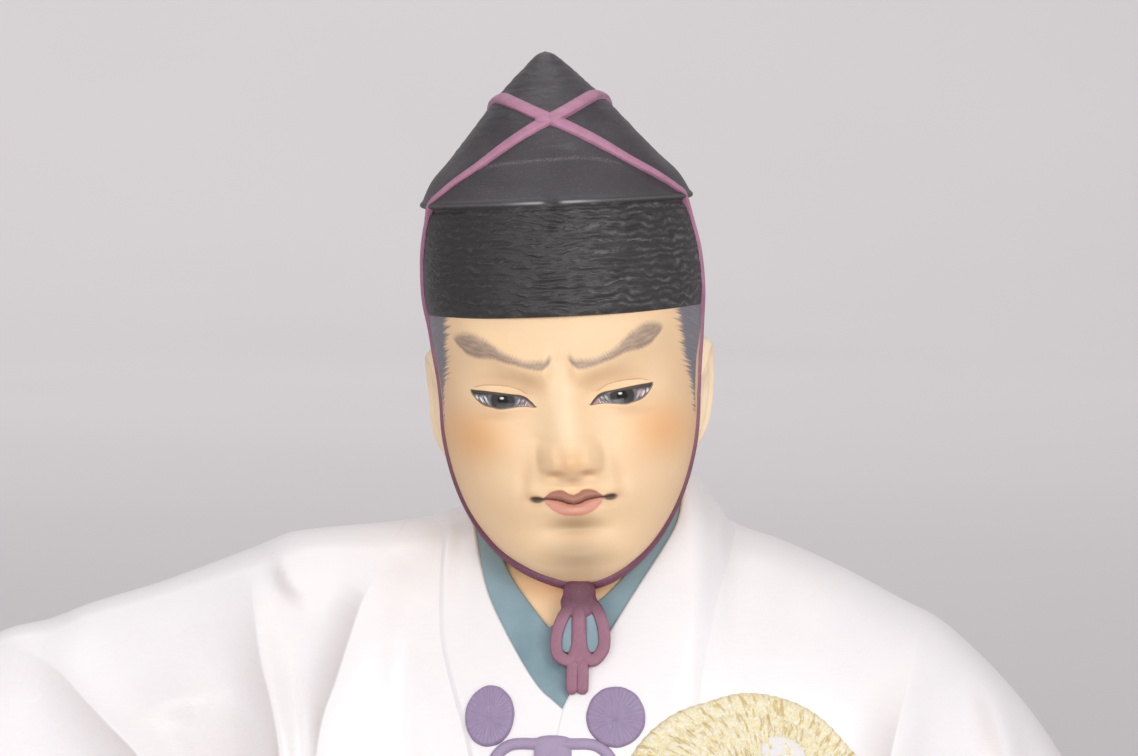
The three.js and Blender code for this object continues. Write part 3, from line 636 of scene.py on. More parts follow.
def head_shell():
    columns, count = 250, 210
    u = np.arange(columns) / columns - 0.5
    angles = TURN * u - 0.6 * np.sin(TURN * u)
    v = np.linspace(0, 1, count + 1)[1:-1]
    levels = head_levels(v)[:, None]
    fade = smoothstep(v, 0, 0.06)[:, None]
    rows = slice_place(HEAD, angles[None, :], levels, lambda x, z: face_relief(x, z) * fade)
    low = slice_place(HEAD, np.array(0.0), np.array(float(HEAD_LOWEST)))
    return shell(lean(rows), lean(low), lean(np.array([0.0, 0.0, HEAD_TOP])))


NECK_LOW, NECK_HIGH, NECK_RADIUS, THROAT_DEPTH = 22, 54, 9.6, 0.9
neck_half = curve((NECK_LOW, 12.5), (30, 11.6), (36, 10.4), (42, NECK_RADIUS))


def neck_shell():
    """The neck, and below it the skin that fills the robe's opening behind the collar"""
    angles = angles_round(120)
    z = np.linspace(NECK_LOW, NECK_HIGH, 70)[:, None]
    x, ahead = neck_half(z) * np.sin(angles), np.cos(angles)
    y = -NECK_RADIUS * power(ahead, 0.9)
    throat = robe_face(x, np.minimum(z, 46)) + THROAT_DEPTH + 1.5 * smoothstep(np.abs(x), 7, 12)
    in_front = smoothstep(ahead, 0.1, 0.5)
    low = in_front * (1 - smoothstep(z, 40, 46))
    y = y * (1 - low) + np.minimum(throat, y) * low
    rows = np.stack(np.broadcast_arrays(x, y, z), axis=-1)
    return shell(rows, np.array([0, 0, NECK_LOW]), np.array([0, 0, NECK_HIGH]))


HEAD_AXIS_X, HEAD_AXIS_Y = -1, -3
EAR_Y, EAR_Z, EAR_HALF_HEIGHT, EAR_HALF_WIDTH = 1.4, 58.6, 7.6, 3.6


def ear_shell(side):
    """An ear as a shallow dish: its outer face from the middle to the rim, then back under the rim"""
    angles = angles_round(72)
    up, ahead = np.cos(angles), np.sin(angles)
    face = np.linspace(0, 1, 31)[1:, None]
    share = np.concatenate([face, np.linspace(0.96, 0.3, 6)[:, None]])
    is_face = np.arange(len(share))[:, None] < len(face)
    wide = EAR_HALF_WIDTH * (1 - 0.3 * smoothstep(-up, 0.1, 1))
    y = EAR_Y - share * wide * ahead + 0.6 * share * up
    z = EAR_Z + share * EAR_HALF_HEIGHT * up
    rim = 0.75 * bell((share - 0.85) / 0.12) * smoothstep(up - 0.8 * ahead, -0.6, 0.3)
    inner_rim = 0.45 * bell((share - 0.5) / 0.13) * smoothstep(0.4 * up - ahead, -0.1, 0.5)
    hollow = -0.9 * bump(share * ahead - 0.2, share * up + 0.15, 0.42, 0.38)
    tragus = 0.5 * bump(share * ahead - 0.75, share * up, 0.2, 0.2)
    lobe = 0.4 * bump(share * ahead, share * up + 0.8, 0.5, 0.22)
    rounding = np.sqrt(1 - np.clip((share - 0.84) / 0.16, 0, 1) ** 2)
    outer = 0.3 + (0.55 + rim + inner_rim + hollow + tragus + lobe) * rounding
    height = np.where(is_face, outer, 0.4 - 2.3 * (1 - share))
    flare = 0.2 * (y - EAR_Y) + 0.03 * (z - EAR_Z)
    x = side * (head_half(np.clip(z, 52, 70)) - 0.4 + height + flare) + flanks(z)
    rows = np.stack(np.broadcast_arrays(x, y, z), axis=-1)
    return shell(lean(rows), lean(rows[0].mean(axis=0)), lean(rows[-1].mean(axis=0) - [side * 0.5, 0, 0]))


# The hat

ROOF_CREASE = [(-10, 86), (-7.8, 87.1), (-5.9, 87.4), (-1, 87.7), (3.1, 87.8), (5.3, 87.6), (8.4, 86.6)]
roof_crease = curve((-13, 84), *ROOF_CREASE, (11.8, 84.5), (14, 83))


def hat_relief(places):
    """Wrinkles of the hat's cloth, the ledge over its band, the pinch in the middle and the crease above"""
    x, y, z = places[..., 0], places[..., 1], places[..., 2]
    front = smoothstep(-y, 0, 10)
    drifted = z + 0.3 * noise(x / 4, y / 4, z / 4 + 7)
    waves = noise(x / 2.1 + 5, y / 2.1, drifted / 0.42)
    waves = waves + 0.35 * noise(x / 0.9, y / 0.9 + 9, drifted / 0.3 + 3)
    strength = (0.75 + 0.25 * noise(x / 5 + 3, y / 5, z / 4)) * (0.75 + 0.25 * smoothstep(x, -4, 3) * front)
    on_band = between(z, 70.6, 71.8, 81.2, 82.6)
    on_slope = 0.5 * between(z, 86, 90, 98.5, 99.8)
    to_flank = 1 - 0.75 * bell((np.abs(x) - 16.2) / 2.2)
    wrinkles = 0.2 * waves * strength * (on_band + on_slope) * to_flank
    centre = bell(x + 0.1)
    lip = 0.26 * bell((z - 82.95) / 0.38) * (1 - 0.8 * centre * front)
    lip = lip + 0.1 * front * bump(np.abs(x) - 2.2, z - 82.9, 1.6, 0.3)
    groove = -0.24 * bell((z - 82.25) / 0.32)
    pinch = -0.3 * front * bump(x + 0.1, z - 82.3, 0.6, 0.7)
    seam_line = bell((x + 0.2 - 0.25 * np.sin(z)) / 0.35)
    seam = -0.05 * front * seam_line * between(z, 72, 76, 81, 82.5)
    crinkle = 0.12 * front * bump(x, z - 81.2, 1.6, 1.6) * np.sin(7 * z + 2 * x)
    over_crease = z - roof_crease(x)
    step = -0.2 * front * smoothstep(over_crease, -0.2, 0.2) * bell(over_crease / 2.5)
    roof = 0.12 * front * noise(x / 4, y / 4, z / 2.2) * smoothstep(z, 83.5, 85)
    rim = -0.4 * (1 - np.sqrt(np.clip(1 - np.square(np.clip((70.7 - z) / 0.65, 0, 1)), 0, 1)))
    return wrinkles + lip + groove + pinch + seam + crinkle + step + roof + rim


hat_levels = curve(
    (0, HAT_RIM), (0.04, 70.5), (0.56, 82.2), (0.62, 83.4), (0.9, 96), (0.97, 99.4), (1, HAT_PEAK),
)


def hat_shell():
    columns, count = 300, 230
    u = np.arange(columns) / columns - 0.5
    angles = TURN * u - 0.35 * np.sin(TURN * u)
    v = np.linspace(0, 1, count + 1)[:-1]
    rows = slice_place(HAT, angles[None, :], hat_levels(v)[:, None])
    rows = rows + normals_of(rows) * hat_relief(rows)[..., None]
    inner = rows[0] * [0.9, 0.9, 1] + [0, 0, 0.4]
    rows = np.concatenate([inner[None], rows])
    peak = rows[-1].mean(axis=0) + [0, 0, HAT_PEAK - rows[-1][:, 2].mean()]
    return shell(lean(rows), lean(np.array([0, 0, HAT_RIM + 0.4])), lean(peak))


# The hat's cord: each strand runs from behind over the front to the other flank and down to the chin.
# Its stations are degrees from the front and z.

BEHIND_HAT = [(180, 87), (150, 90), (120, 93.2), (92, 94.7), (62, 95), (32, 94.2), (14, 93.3)]
OVER_HAT = {
    -1: [(0, 92.4), (14, 91.2), (30, 89.2), (46, 86.3), (58, 84.3), (66, 83.1), (72, 81.8), (77, 79),
         (81, 76), (82, 72)],
    1: [(0, 92.4), (14, 91.2), (30, 89.4), (48, 86.5), (64, 84.1), (73, 82.9), (78, 81.3), (81, 77),
        (81, 72)],
}
BY_CHEEK = [(84.3, 68.6), (83.4, 66), (82.9, 63), (81.8, 60), (81.5, 57), (81.3, 54), (81.1, 51), (80, 47.6),
            (73, 43.9), (58, 41.3), (38, 39.9), (14, 39.3), (-6, 39.2)]
strand_width = curve_mm(
    (39.6, 1.75), (41.5, 1.4), (44, 1.05), (48, 0.8), (56, 0.8), (80, 0.85), (84, 1), (90, 1.8), (93, 2.1),
)
strand_proud = curve_mm((39.6, 0.85), (48, 0.55), (60, 0.5), (93, 0.5))


def from_axis(places):
    """Away from an upright line inside the head"""
    low = np.clip(places[:, 2], 53, 80)
    return places - np.stack([0 * low + HEAD_AXIS_X, 0 * low + HEAD_AXIS_Y, low], axis=1)


def strand(side):
    stations = [(-side * angle, z) for angle, z in BEHIND_HAT]
    stations += [(side * angle, z) for angle, z in OVER_HAT[side]]
    path = [slice_place(HAT, np.radians(angle), np.array(float(z))) for angle, z in spline(stations, 60)]
    path += [slice_place(HEAD, np.radians(side * angle), np.array(float(z))) for angle, z in BY_CHEEK]
    return tube(lean(np.array(path)), from_axis, strand_width, strand_proud, 1.5 * MM, rows=440, sides=14)


def lump(centre, radii):
    """A soft rounded lump"""
    rows, columns = 24, 36
    up = math.pi * np.linspace(0, 1, rows + 1)[1:-1, None]
    angles = angles_round(columns)
    ball = [np.sin(up) * np.sin(angles), -np.sin(up) * np.cos(angles), np.cos(up) * np.ones_like(angles)]
    places = np.stack(ball, axis=-1) * radii
    return shell(centre + places, centre + np.array([0, 0, radii[2]]), centre - np.array([0, 0, radii[2]]))


def towards_front(places):
    return np.broadcast_to([0, -1, 0.25], places.shape)


KNOT_LIFT, KNOT_SEAT, KNOT_STRAND, KNOT_PROUD, KNOT_SQUARE = 0.2, 2.4 * MM, 1.85 * MM, 0.65 * MM, 0.55
knot_face = curve((25, -21.4), (30, -20.6), (34, -19.3), (37, -18.4), (39.5, -18))
KNOT_LOOPS = [
    [(0.1, 37.6), (-1.3, 35.9), (-2.1, 33.6), (-1.9, 31.7), (-0.6, 31.1), (0.2, 32.5), (0.3, 35)],
    [(0.8, 38), (2.3, 36.9), (3.2, 34.6), (3.15, 32.3), (1.9, 31.1), (0.9, 32), (0.6, 35)],
]
KNOT_TAILS = [[(-0.25, 31.4), (-0.35, 29.3), (-0.38, 27.3)], [(0.8, 31.4), (0.88, 29.3), (0.8, 27.3)]]
KNOT_GAPS = [[(-0.75, 36.4), (-0.95, 34.2), (-0.75, 32)], [(1.75, 36.9), (2.05, 34.6), (1.7, 32)]]
KNOT_BODY = [(0.45, 37.6), (0.43, 34), (0.3, 30.4)]
KNOT_HEAD = [(0.55, 40.1), (0.5, 38.6), (0.45, 37.2), (0.4, 35.6)]
knot_head_width = curve((35.6, 2.6), (36.6, 4.4), (37.6, 4.3), (38.4, 3.8), (39.1, 4.3), (40.3, 5.8))


def strap(points, width, proud, rows=50, square=KNOT_SQUARE, closed=False):
    """A strap hanging down in front of the throat"""
    path = [(x, float(knot_face(z)) - KNOT_LIFT, z) for x, z in points]
    return tube(path, towards_front, width, proud, KNOT_SEAT, rows, closed=closed, square=square)


def knot():
    loops = [strap(loop, KNOT_STRAND, KNOT_PROUD, 90, closed=True) for loop in KNOT_LOOPS]
    tails = [strap(tail, 1.8 * MM, KNOT_PROUD) for tail in KNOT_TAILS]
    body = strap(KNOT_BODY, 2.2 * MM, 1.05 * KNOT_PROUD)
    head = strap(KNOT_HEAD, knot_head_width, 1.2 * KNOT_PROUD, square=0.7)
    return [*loops, *tails, body, head]


# The flat bow that ties the robe's front, the two rosettes above it and the gold roundel

BAND_LIFT = 0.45
BOW_X, BOW_WIDTH, BOW_PROUD, BOW_SEAT = -2.5, 1.75 * MM, 0.7 * MM, 1.6 * MM
BOW_LOOP = [(0, 21.5), (2.5, 21.85), (5, 21.6), (6.6, 20), (6, 17.6), (3.4, 17), (0.8, 18)]
BOW_TAIL = [(0, 18.6), (1.4, 15.5), (2.4, 11.5), (2.8, 7.5)]
BOW_KNOT = [(0, 22.8), (0, 20.5), (0, 16.6)]


def bow_part(points, side, rows, wide=BOW_WIDTH, proud=BOW_PROUD, **shape):
    x, z = np.array(points, float).T
    x = BOW_X + side * x
    path = np.stack([x, robe_face(x, z) - BAND_LIFT, z], axis=1)
    return tube(path, towards_front, wide, proud, BOW_SEAT, rows, **shape)


def bow():
    loops = [bow_part(BOW_LOOP, side, 110, closed=True) for side in (-1, 1)]
    tails = [bow_part(BOW_TAIL, side, 60) for side in (-1, 1)]
    middle = bow_part(BOW_KNOT, 1, 90, 3.2 * BOW_WIDTH, 1.05 * BOW_PROUD, square=0.5, blunt=0.3)
    return [*loops, *tails, middle]


def band_lift(x):
    """How far the band's face stands off the dome under the ornaments"""
    return BAND_LIFT - (BAND_LIFT - 0.1) * smoothstep(x, 11.5, 16)


DISC_SEAT = 1.2 * MM


def disc(x, z, radius, squeeze, tilt, profile, rows, columns, edge, scallops=0):
    """A disc on the robe's front whose face rises by profile(share of the radius, angle)"""
    angles = angles_round(columns)
    share = np.concatenate([np.linspace(0, 1, rows + 1)[1:], np.array([0.995, 0.9])])[:, None]
    is_face = np.arange(len(share))[:, None] < rows
    across, up = squeeze * share * np.sin(angles), share * np.cos(angles)
    wobble = 1 + 0.006 * np.sin(5 * angles + x) + 0.004 * np.sin(11 * angles + z)
    if scallops:
        ragged = noise(3 * np.cos(angles), 3 * np.sin(angles), 0 * angles)
        wobble = wobble + 0.012 * ragged * smoothstep(share, 0.8, 1)
        wobble = wobble + 0.003 * np.cos(scallops * angles) * smoothstep(share, 0.9, 1)
    px = x + radius * wobble * (across * math.cos(tilt) + up * math.sin(tilt))
    pz = z + radius * wobble * (up * math.cos(tilt) - across * math.sin(tilt))
    fall = np.sqrt(np.maximum(1 - np.clip((share - 1 + edge) / edge, 0, 1) ** 2, 0))
    rise = np.where(is_face, band_lift(px) + profile(share, angles) * fall, -DISC_SEAT * np.ones_like(px))
    places = np.stack([px, robe_face(px, np.maximum(pz, 0.0)), np.maximum(pz, 0.05)], axis=-1)
    rows_made = places + robe_normal(px, np.maximum(pz, 0.5)) * rise[..., None]
    rows_made[..., 2] = np.maximum(rows_made[..., 2], 0.02)
    return shell(rows_made, rows_made[0].mean(axis=0), rows_made[-1].mean(axis=0))


ROSETTE_Z, ROSETTE_RADIUS, ROSETTE_PROUD, ROSETTE_RAYS = 24.7, 4.4 * MM, 0.9 * MM, 34


def rosette_profile(share, angle):
    rays = 0.035 * smoothstep(share, 0.2, 0.5) * np.cos(ROSETTE_RAYS * angle + 1.3 * np.sin(3 * angle))
    boss = 0.14 * bell(share / 0.15)
    return ROSETTE_PROUD * (1 - 0.25 * share**2 + rays + boss)


ROUNDEL_X, ROUNDEL_Z, ROUNDEL_RADIUS, ROUNDEL_SQUEEZE, ROUNDEL_PROUD = 19, 13.9, 17.3 * MM, 1.1, 1 * MM
ROUNDEL_FEATHERS = 72
# The rings of feathers: inner and outer share of the radius, how many, their sweep in turns, and their height
ROUNDEL_RINGS = [(0.82, 1.1, ROUNDEL_FEATHERS, 0.8, 1), (0.5, 0.82, 48, -9, 0.85), (0.2, 0.5, 26, 7, 0.7)]
# Smooth leaf-shaped windows between the feathers: how many, the turn of the first, where their middle is as a
# share of the radius, and half their size both ways
ROUNDEL_WINDOWS, WINDOW_TURN, WINDOW_SHARE, WINDOW_WIDE, WINDOW_HIGH = 3, 0.09, 0.6, 0.055, 0.13


def roundel_profile(share, angle):
    """Rings of feathers that sweep sideways, round a low boss, with smooth leaf-shaped windows"""
    height = 0.75 * smoothstep(0.19 - share, 0, 0.04) * np.ones_like(angle)
    for low, high, count, sweep, tall in ROUNDEL_RINGS:
        in_ring = between(share, low - 0.008, low + 0.02, high - 0.02, high + 0.008)
        drift = 1.6 * noise(5 * np.cos(angle), 5 * np.sin(angle), 6 * share + 0 * angle)
        quill = 0.5 + 0.5 * np.cos(count * angle + sweep * (share - low) * TURN + drift)
        taper = 0.75 + 0.25 * smoothstep(share, low, high)
        height = np.maximum(height, tall * taper * in_ring * (0.62 + 0.38 * quill**0.7))
    part = 1 / ROUNDEL_WINDOWS
    turn = (angle / TURN - WINDOW_TURN + part / 2) % part - part / 2
    leaf = 1 - smoothstep(np.hypot(turn / WINDOW_WIDE, (share - WINDOW_SHARE) / WINDOW_HIGH), 0.85, 1)
    return ROUNDEL_PROUD * (0.45 + 0.55 * height * (1 - 0.75 * leaf))


# Materials

class Level:
    """An output of a paint's nodes. Sums and products of levels and numbers make further nodes"""

    def __init__(self, paint, socket):
        self.paint = paint
        self.socket = socket

    def __add__(self, other):
        return self.paint.math("ADD", self, other)

    def __sub__(self, other):
        return self.paint.math("SUBTRACT", self, other)

    def __rsub__(self, other):
        return self.paint.math("SUBTRACT", other, self)

    def __mul__(self, other):
        return self.paint.math("MULTIPLY", self, other)

    def __truediv__(self, other):
        return self.paint.math("DIVIDE", self, other)

    def __abs__(self):
        return self.paint.math("ABSOLUTE", self)

    def step(self, low, high):
        """0 at low, 1 at high"""
        return self.paint.node("ShaderNodeMapRange", self, low, high, interpolation_type="SMOOTHSTEP")

    def spread(self, low, high):
        """A level of 0 to 1 spread from low to high"""
        return self.paint.node("ShaderNodeMapRange", self, 0.25, 0.75, low, high)

    def inside(self, low, high, soft):
        """1 between low and high"""
        return (self - low).step(-soft, soft) * (high - self).step(-soft, soft)

    def near(self, middle, reach, soft):
        return self.inside(middle - reach, middle + reach, soft)

    def curve(self, knots):
        """A smooth curve through the knots, level beyond its ends"""
        xs, ys = np.array(knots, float).T
        low, high = float(ys.min()), float(max(ys.max(), ys.min() + 1e-3))
        share = self.paint.node("ShaderNodeMapRange", self, float(xs[0]), float(xs[-1]))
        made = self.paint.node("ShaderNodeFloatCurve", 1.0, share)
        mapping = made.socket.node.mapping
        points = mapping.curves[0].points
        places = list(zip((xs - xs[0]) / (xs[-1] - xs[0]), (ys - low) / (high - low)))
        points[0].location, points[1].location = places[0], places[-1]
        for place in places[1:-1]:
            points.new(*place)
        for point in points:
            point.handle_type = "AUTO_CLAMPED"
        mapping.update()
        return self.paint.node("ShaderNodeMapRange", made, 0.0, 1.0, low, high)


class Paint:
    """A material that is built up in coats of colour"""

    def __init__(self, name):
        self.material = bpy.data.materials.new(name)
        self.material.use_nodes = True
        self.tree = self.material.node_tree
        self.colour = None
        place = self.node("ShaderNodeTexCoord", output="Object")
        self.place = self.vector("MULTIPLY", place, (1 / UNIT,) * 3)
        parts = self.node("ShaderNodeSeparateXYZ", self.place).socket.node.outputs
        self.x, self.y, self.z = (Level(self, socket) for socket in parts)

    def put(self, socket, value):
        if isinstance(value, Level):
            self.tree.links.new(value.socket, socket)
        elif socket.type == "RGBA":
            socket.default_value = (*value, 1)
        else:
            socket.default_value = value

    def node(self, kind, *values, output=None, **settings):
        """The named or else the first output of a new node with these inputs and settings"""
        made = self.tree.nodes.new(kind)
        for name, value in settings.items():
            setattr(made, name, value)
        inputs = [socket for socket in made.inputs if socket.enabled]
        for socket, value in zip(inputs, values):
            self.put(socket, value)
        outputs = [socket for socket in made.outputs if socket.enabled]
        return Level(self, made.outputs[output] if output else outputs[0])

    def math(self, operation, *values):
        return self.node("ShaderNodeMath", *values, operation=operation)

    def vector(self, operation, *values):
        return self.node("ShaderNodeVectorMath", *values, operation=operation)

    def combined(self, x, y, z):
        return self.node("ShaderNodeCombineXYZ", x, y, z)

    def blob(self, x, z, cx, cz, rx, rz, inner=0.0):
        """1 in the middle of an oval, 0 at its edge"""
        away = self.vector("LENGTH", self.combined((x - cx) / rx, (z - cz) / rz, 0.0))
        return away.step(1.0, inner)

    def noise(self, scale=1.0, detail=2.0, roughness=0.5, place=None):
        """Noise from 0 to 1, with scale swells per hundredth of the height, or one scale for each axis"""
        scale = scale if isinstance(scale, tuple) else (scale,) * 3
        stretched = self.vector("MULTIPLY", place or self.place, scale)
        return self.node("ShaderNodeTexNoise", stretched, 1.0, detail, roughness)

    def mix(self, share, below, above):
        return self.node("ShaderNodeMix", share, below, above, data_type="RGBA")

    def coat(self, share, colour):
        self.colour = self.mix(share, self.colour, colour)

    def bump(self, height, depth):
        """Height of 0 to 1 as relief as deep as depth, in hundredths of the bust's height"""
        made = self.node("ShaderNodeBump")
        inputs = made.socket.node.inputs
        inputs["Distance"].default_value = depth * UNIT
        self.put(inputs["Height"], height)
        return made

    def finish(self, **values):
        surface = self.tree.nodes["Principled BSDF"]
        for name, value in dict(Base_Color=self.colour, **values).items():
            self.put(surface.inputs[name.replace("_", " ")], value)
        return self.material


def robe_paint():
    paint = Paint("robe pearl")
    grain = paint.noise((0.6, 2.5, 5.0), 3, 0.6)
    paint.colour = paint.mix(paint.noise(0.07, 3).spread(0.0, 1.0), (0.84, 0.8, 0.805), (0.89, 0.855, 0.855))
    paint.coat(grain.spread(0.0, 0.3), (0.92, 0.89, 0.89))
    # Painted shade on the folds' flanks that face away from the light, from the robe's fold marks
    fold_painted_shade = paint.node("ShaderNodeAttribute", output="Fac", attribute_name="fold_shade")
    paint.coat(fold_painted_shade, (0.66, 0.59, 0.585))
    height = grain * 0.6 + paint.noise(7.0, 2) * 0.4
    return paint.finish(Roughness=grain.spread(0.28, 0.42), Normal=paint.bump(height, 0.05),
                        Coat_Weight=0.35, Coat_Roughness=0.22)


def collar_paint():
    paint = Paint("collar teal")
    grain = paint.noise((2.0, 2.0, 6.0), 3, 0.6)
    paint.colour = paint.mix(paint.noise(0.35, 3).spread(0.0, 1.0), (0.165, 0.26, 0.3), (0.24, 0.345, 0.385))
    # Painted light: the teal is painted lighter towards the top, to lift the shadow under the chin
    paint.coat(paint.z.step(29, 42) * 0.7, (0.3, 0.42, 0.47))
    return paint.finish(Roughness=grain.spread(0.42, 0.58), Normal=paint.bump(grain, 0.04))


def head_coordinates(paint):
    """The place on the upright head: across, up, the distance from its midline and the turn from its front"""
    spread = math.cos(LEVEL) * math.cos(LEAN) + math.sin(LEAN) * math.sin(LEVEL)
    lowered = paint.vector("SUBTRACT", paint.place, (0, 0, LEAN_PIVOT))
    across = paint.vector("DOT_PRODUCT", lowered, (math.cos(LEAN) / spread, 0, math.sin(LEAN) / spread))
    up = paint.vector("DOT_PRODUCT", lowered, (-math.sin(LEVEL) / spread, 0, math.cos(LEVEL) / spread))
    z = up + LEAN_PIVOT
    x = across - z.curve(MIDLINE)
    turn = paint.math("ARCTAN2", abs(x), HEAD_AXIS_Y - paint.y)
    return x, z, abs(x), turn * (180 / math.pi)


RIPPLE_HEIGHT = 0.92
DUST = (0.4, 0.38, 0.38)
CLAY_DEPTH = {"Subsurface_Weight": 0.06, "Subsurface_Scale": 0.002}


def hat_paint():
    paint = Paint("hat black")
    x, z, side, _ = head_coordinates(paint)
    grain = paint.noise((1.4, 1.4, 4.0), 4, 0.6)
    dots = paint.noise(9.0, 1)
    wave = paint.math("SINE", z * (TURN / RIPPLE_HEIGHT) + paint.noise((0.36, 0.36, 0.5), 2, 0.45) * 15.0)
    patches = paint.noise((0.4, 0.4, 1.1), 2).step(0.36, 0.62) * 0.75 + 0.25
    short = paint.noise((0.8, 0.8, 1.5), 2).step(0.4, 0.6) * 0.75 + 0.25
    ripples = wave.step(-0.9, 1.3) * patches * short * (z.step(82.8, 82.2) + z.step(88, 94) * 0.4 + 0.06)
    on_roof = z.step(82.6, 83.6)
    paint.colour = paint.mix(grain.spread(0.0, 1.0), (0.02, 0.018, 0.019), (0.032, 0.029, 0.03))
    # Painted highlights on the ripples' crests, brighter towards the right, where the light falls
    paint.coat(ripples * (x.step(-1, 7) * 0.9 + 0.25), (0.11, 0.102, 0.104))
    # Painted light: the roof is painted lighter than the band, for the light its upward slope catches
    roof = paint.mix(paint.noise(0.16, 3).spread(0.0, 1.0), (0.046, 0.0405, 0.0455), (0.07, 0.062, 0.069))
    paint.coat(on_roof, roof)
    # The light that the ledge over the band catches to both sides of its pinch, and dust on the roof's crease
    ledge = z.inside(82.8, 83.05, 0.14) * paint.y.step(-4, -12) * abs(x + 0.1).step(0.5, 1.6)
    paint.coat(ledge * (side.step(6, 2) * 0.6 + 0.15), (0.42, 0.4, 0.41))
    paint.coat(dots.step(0.68, 0.74) * on_roof * z.step(98, 90) * 0.3, DUST)
    crease = z.near(x.curve([*ROOF_CREASE, (11, 85)]), 0.12, 0.2) * side.step(10, 7) * paint.y.step(-6, -9)
    paint.coat(crease * dots.step(0.5, 0.62) * 0.45, DUST)
    height = grain * 0.25 + ripples * 0.75
    return paint.finish(Roughness=grain.spread(0.42, 0.55), Normal=paint.bump(height, 0.2))


def cord_paint(name, low, high, z_low, z_high):
    """A violet that goes from low to high between two levels, as painted light and shade by height"""
    paint = Paint(name)
    grain = paint.noise(3.0, 3, 0.6)
    paint.colour = paint.mix(paint.z.step(z_low, z_high), low, high)
    paint.coat(paint.noise(0.5, 3).spread(0.0, 0.3), tuple(v * 0.72 for v in low))
    paint.coat(grain.step(0.55, 0.8) * 0.25, tuple(min(v * 1.4, 1) for v in high))
    return paint.finish(Roughness=grain.spread(0.4, 0.58), Normal=paint.bump(grain, 0.06))


def round_from(paint, x, z, squeeze=1.0):
    """The distance and the turn, in whole turns, of a place from a point on the front"""
    dx, dz = (paint.x - x) / squeeze, paint.z - z
    return paint.vector("LENGTH", paint.combined(dx, 0.0, dz)), paint.math("ARCTAN2", dx, dz) / TURN


def rosette_paint(name, x, z):
    paint = Paint(name)
    away, turn = round_from(paint, x, z)
    rays = paint.noise(place=paint.combined(turn * 60.0, away * 0.4, 0.0))
    grain = paint.noise(3.0, 3)
    paint.colour = paint.mix(rays.spread(0.0, 1.0), (0.265, 0.195, 0.32), (0.33, 0.255, 0.395))
    paint.coat(grain.step(0.6, 0.8) * 0.3, (0.6, 0.52, 0.62))
    return paint.finish(Roughness=0.5, Normal=paint.bump(rays * 0.7 + grain * 0.3, 0.07))


def roundel_paint():
    paint = Paint("roundel gold")
    away, turn = round_from(paint, ROUNDEL_X, ROUNDEL_Z, ROUNDEL_SQUEEZE)
    share = away / ROUNDEL_RADIUS
    part = 1 / ROUNDEL_WINDOWS
    leaf_turn = paint.math("MODULO", turn - WINDOW_TURN + (1 + part / 2), part) - part / 2
    windows = paint.blob(leaf_turn, share, 0.0, WINDOW_SHARE, WINDOW_WIDE, WINDOW_HIGH, 0.9)
    windows = windows * (1.0 - paint.noise(1.3, 1).step(0.56, 0.62))
    worn = paint.noise(1.1, 4, 0.75).step(0.38, 0.29) * 0.75
    foil = 1.0 - paint.math("MAXIMUM", windows, worn)
    barbs = paint.noise(1.0, 3, 0.65, paint.combined(turn * 130.0 + share * 9.0, share * 7.0, 0.0))
    grain = paint.noise(5.0, 3, 0.7)
    paint.colour = paint.mix(grain.spread(0.0, 1.0), (0.9, 0.7, 0.28), (1.0, 0.95, 0.66))
    # Painted glints: white sparkle on the gold foil
    paint.coat(paint.noise(3.2, 3, 0.75).step(0.46, 0.58) * 0.85, (1.0, 0.98, 0.9))
    paint.coat(barbs.step(0.5, 0.36) * 0.7, (0.6, 0.41, 0.12))
    paint.coat(share.step(0.95, 1.03) * 0.3, (0.5, 0.32, 0.1))
    paint.coat(1.0 - foil, (0.92, 0.88, 0.86))
    normal = paint.bump(grain, 0.2)
    return paint.finish(Metallic=foil * 0.15, Roughness=grain.spread(0.28, 0.5), Normal=normal)


# The face's paint: what is drawn on both sides, by the distance from the midline and z

BROW_TOP = [(0.7, 66.1), (1.2, 65.9), (1.9, 65.4), (3.4, 65.4), (5, 65.9), (6.3, 66.5), (7.4, 67.35),
            (8.8, 68.2), (10.4, 68.7), (12.1, 68.3)]
BROW_LOW = [(0.7, 65.4), (1.1, 64.8), (1.5, 64.35), (2.3, 63.95), (3.5, 64.15), (5, 64.6), (6.5, 65.05),
            (7.5, 65.4), (9.1, 65.5), (10.2, 65.8), (11, 66.5), (12.1, 67.7)]
LASH_WIDE = [(3, 0.08), (4.5, 0.16), (6, 0.2), (8, 0.3), (9.3, 0.34), (10.2, 0.34), (10.6, 0.2)]
LOW_LINE_WIDE = [(3, 0.05), (5, 0.1), (8, 0.13), (9.5, 0.2), (10.4, 0.1)]
IRIS_X, IRIS_Z, IRIS_RADIUS = 6.75, 60.75, 1.5
# The hair's edge by z and degrees from the front, and its lower end by degrees and z
HAIR_EDGE = [(46, 88), (50, 82), (53, 78), (56, 73), (58.5, 70.5), (60, 69.5), (61.5, 68), (63, 64),
             (65.6, 59), (70, 55.5)]
HAIR_LOW = [(55, 59.5), (60, 58.4), (68, 57.9), (75, 58), (85, 59), (100, 56), (120, 53), (150, 50.5),
            (180, 50)]

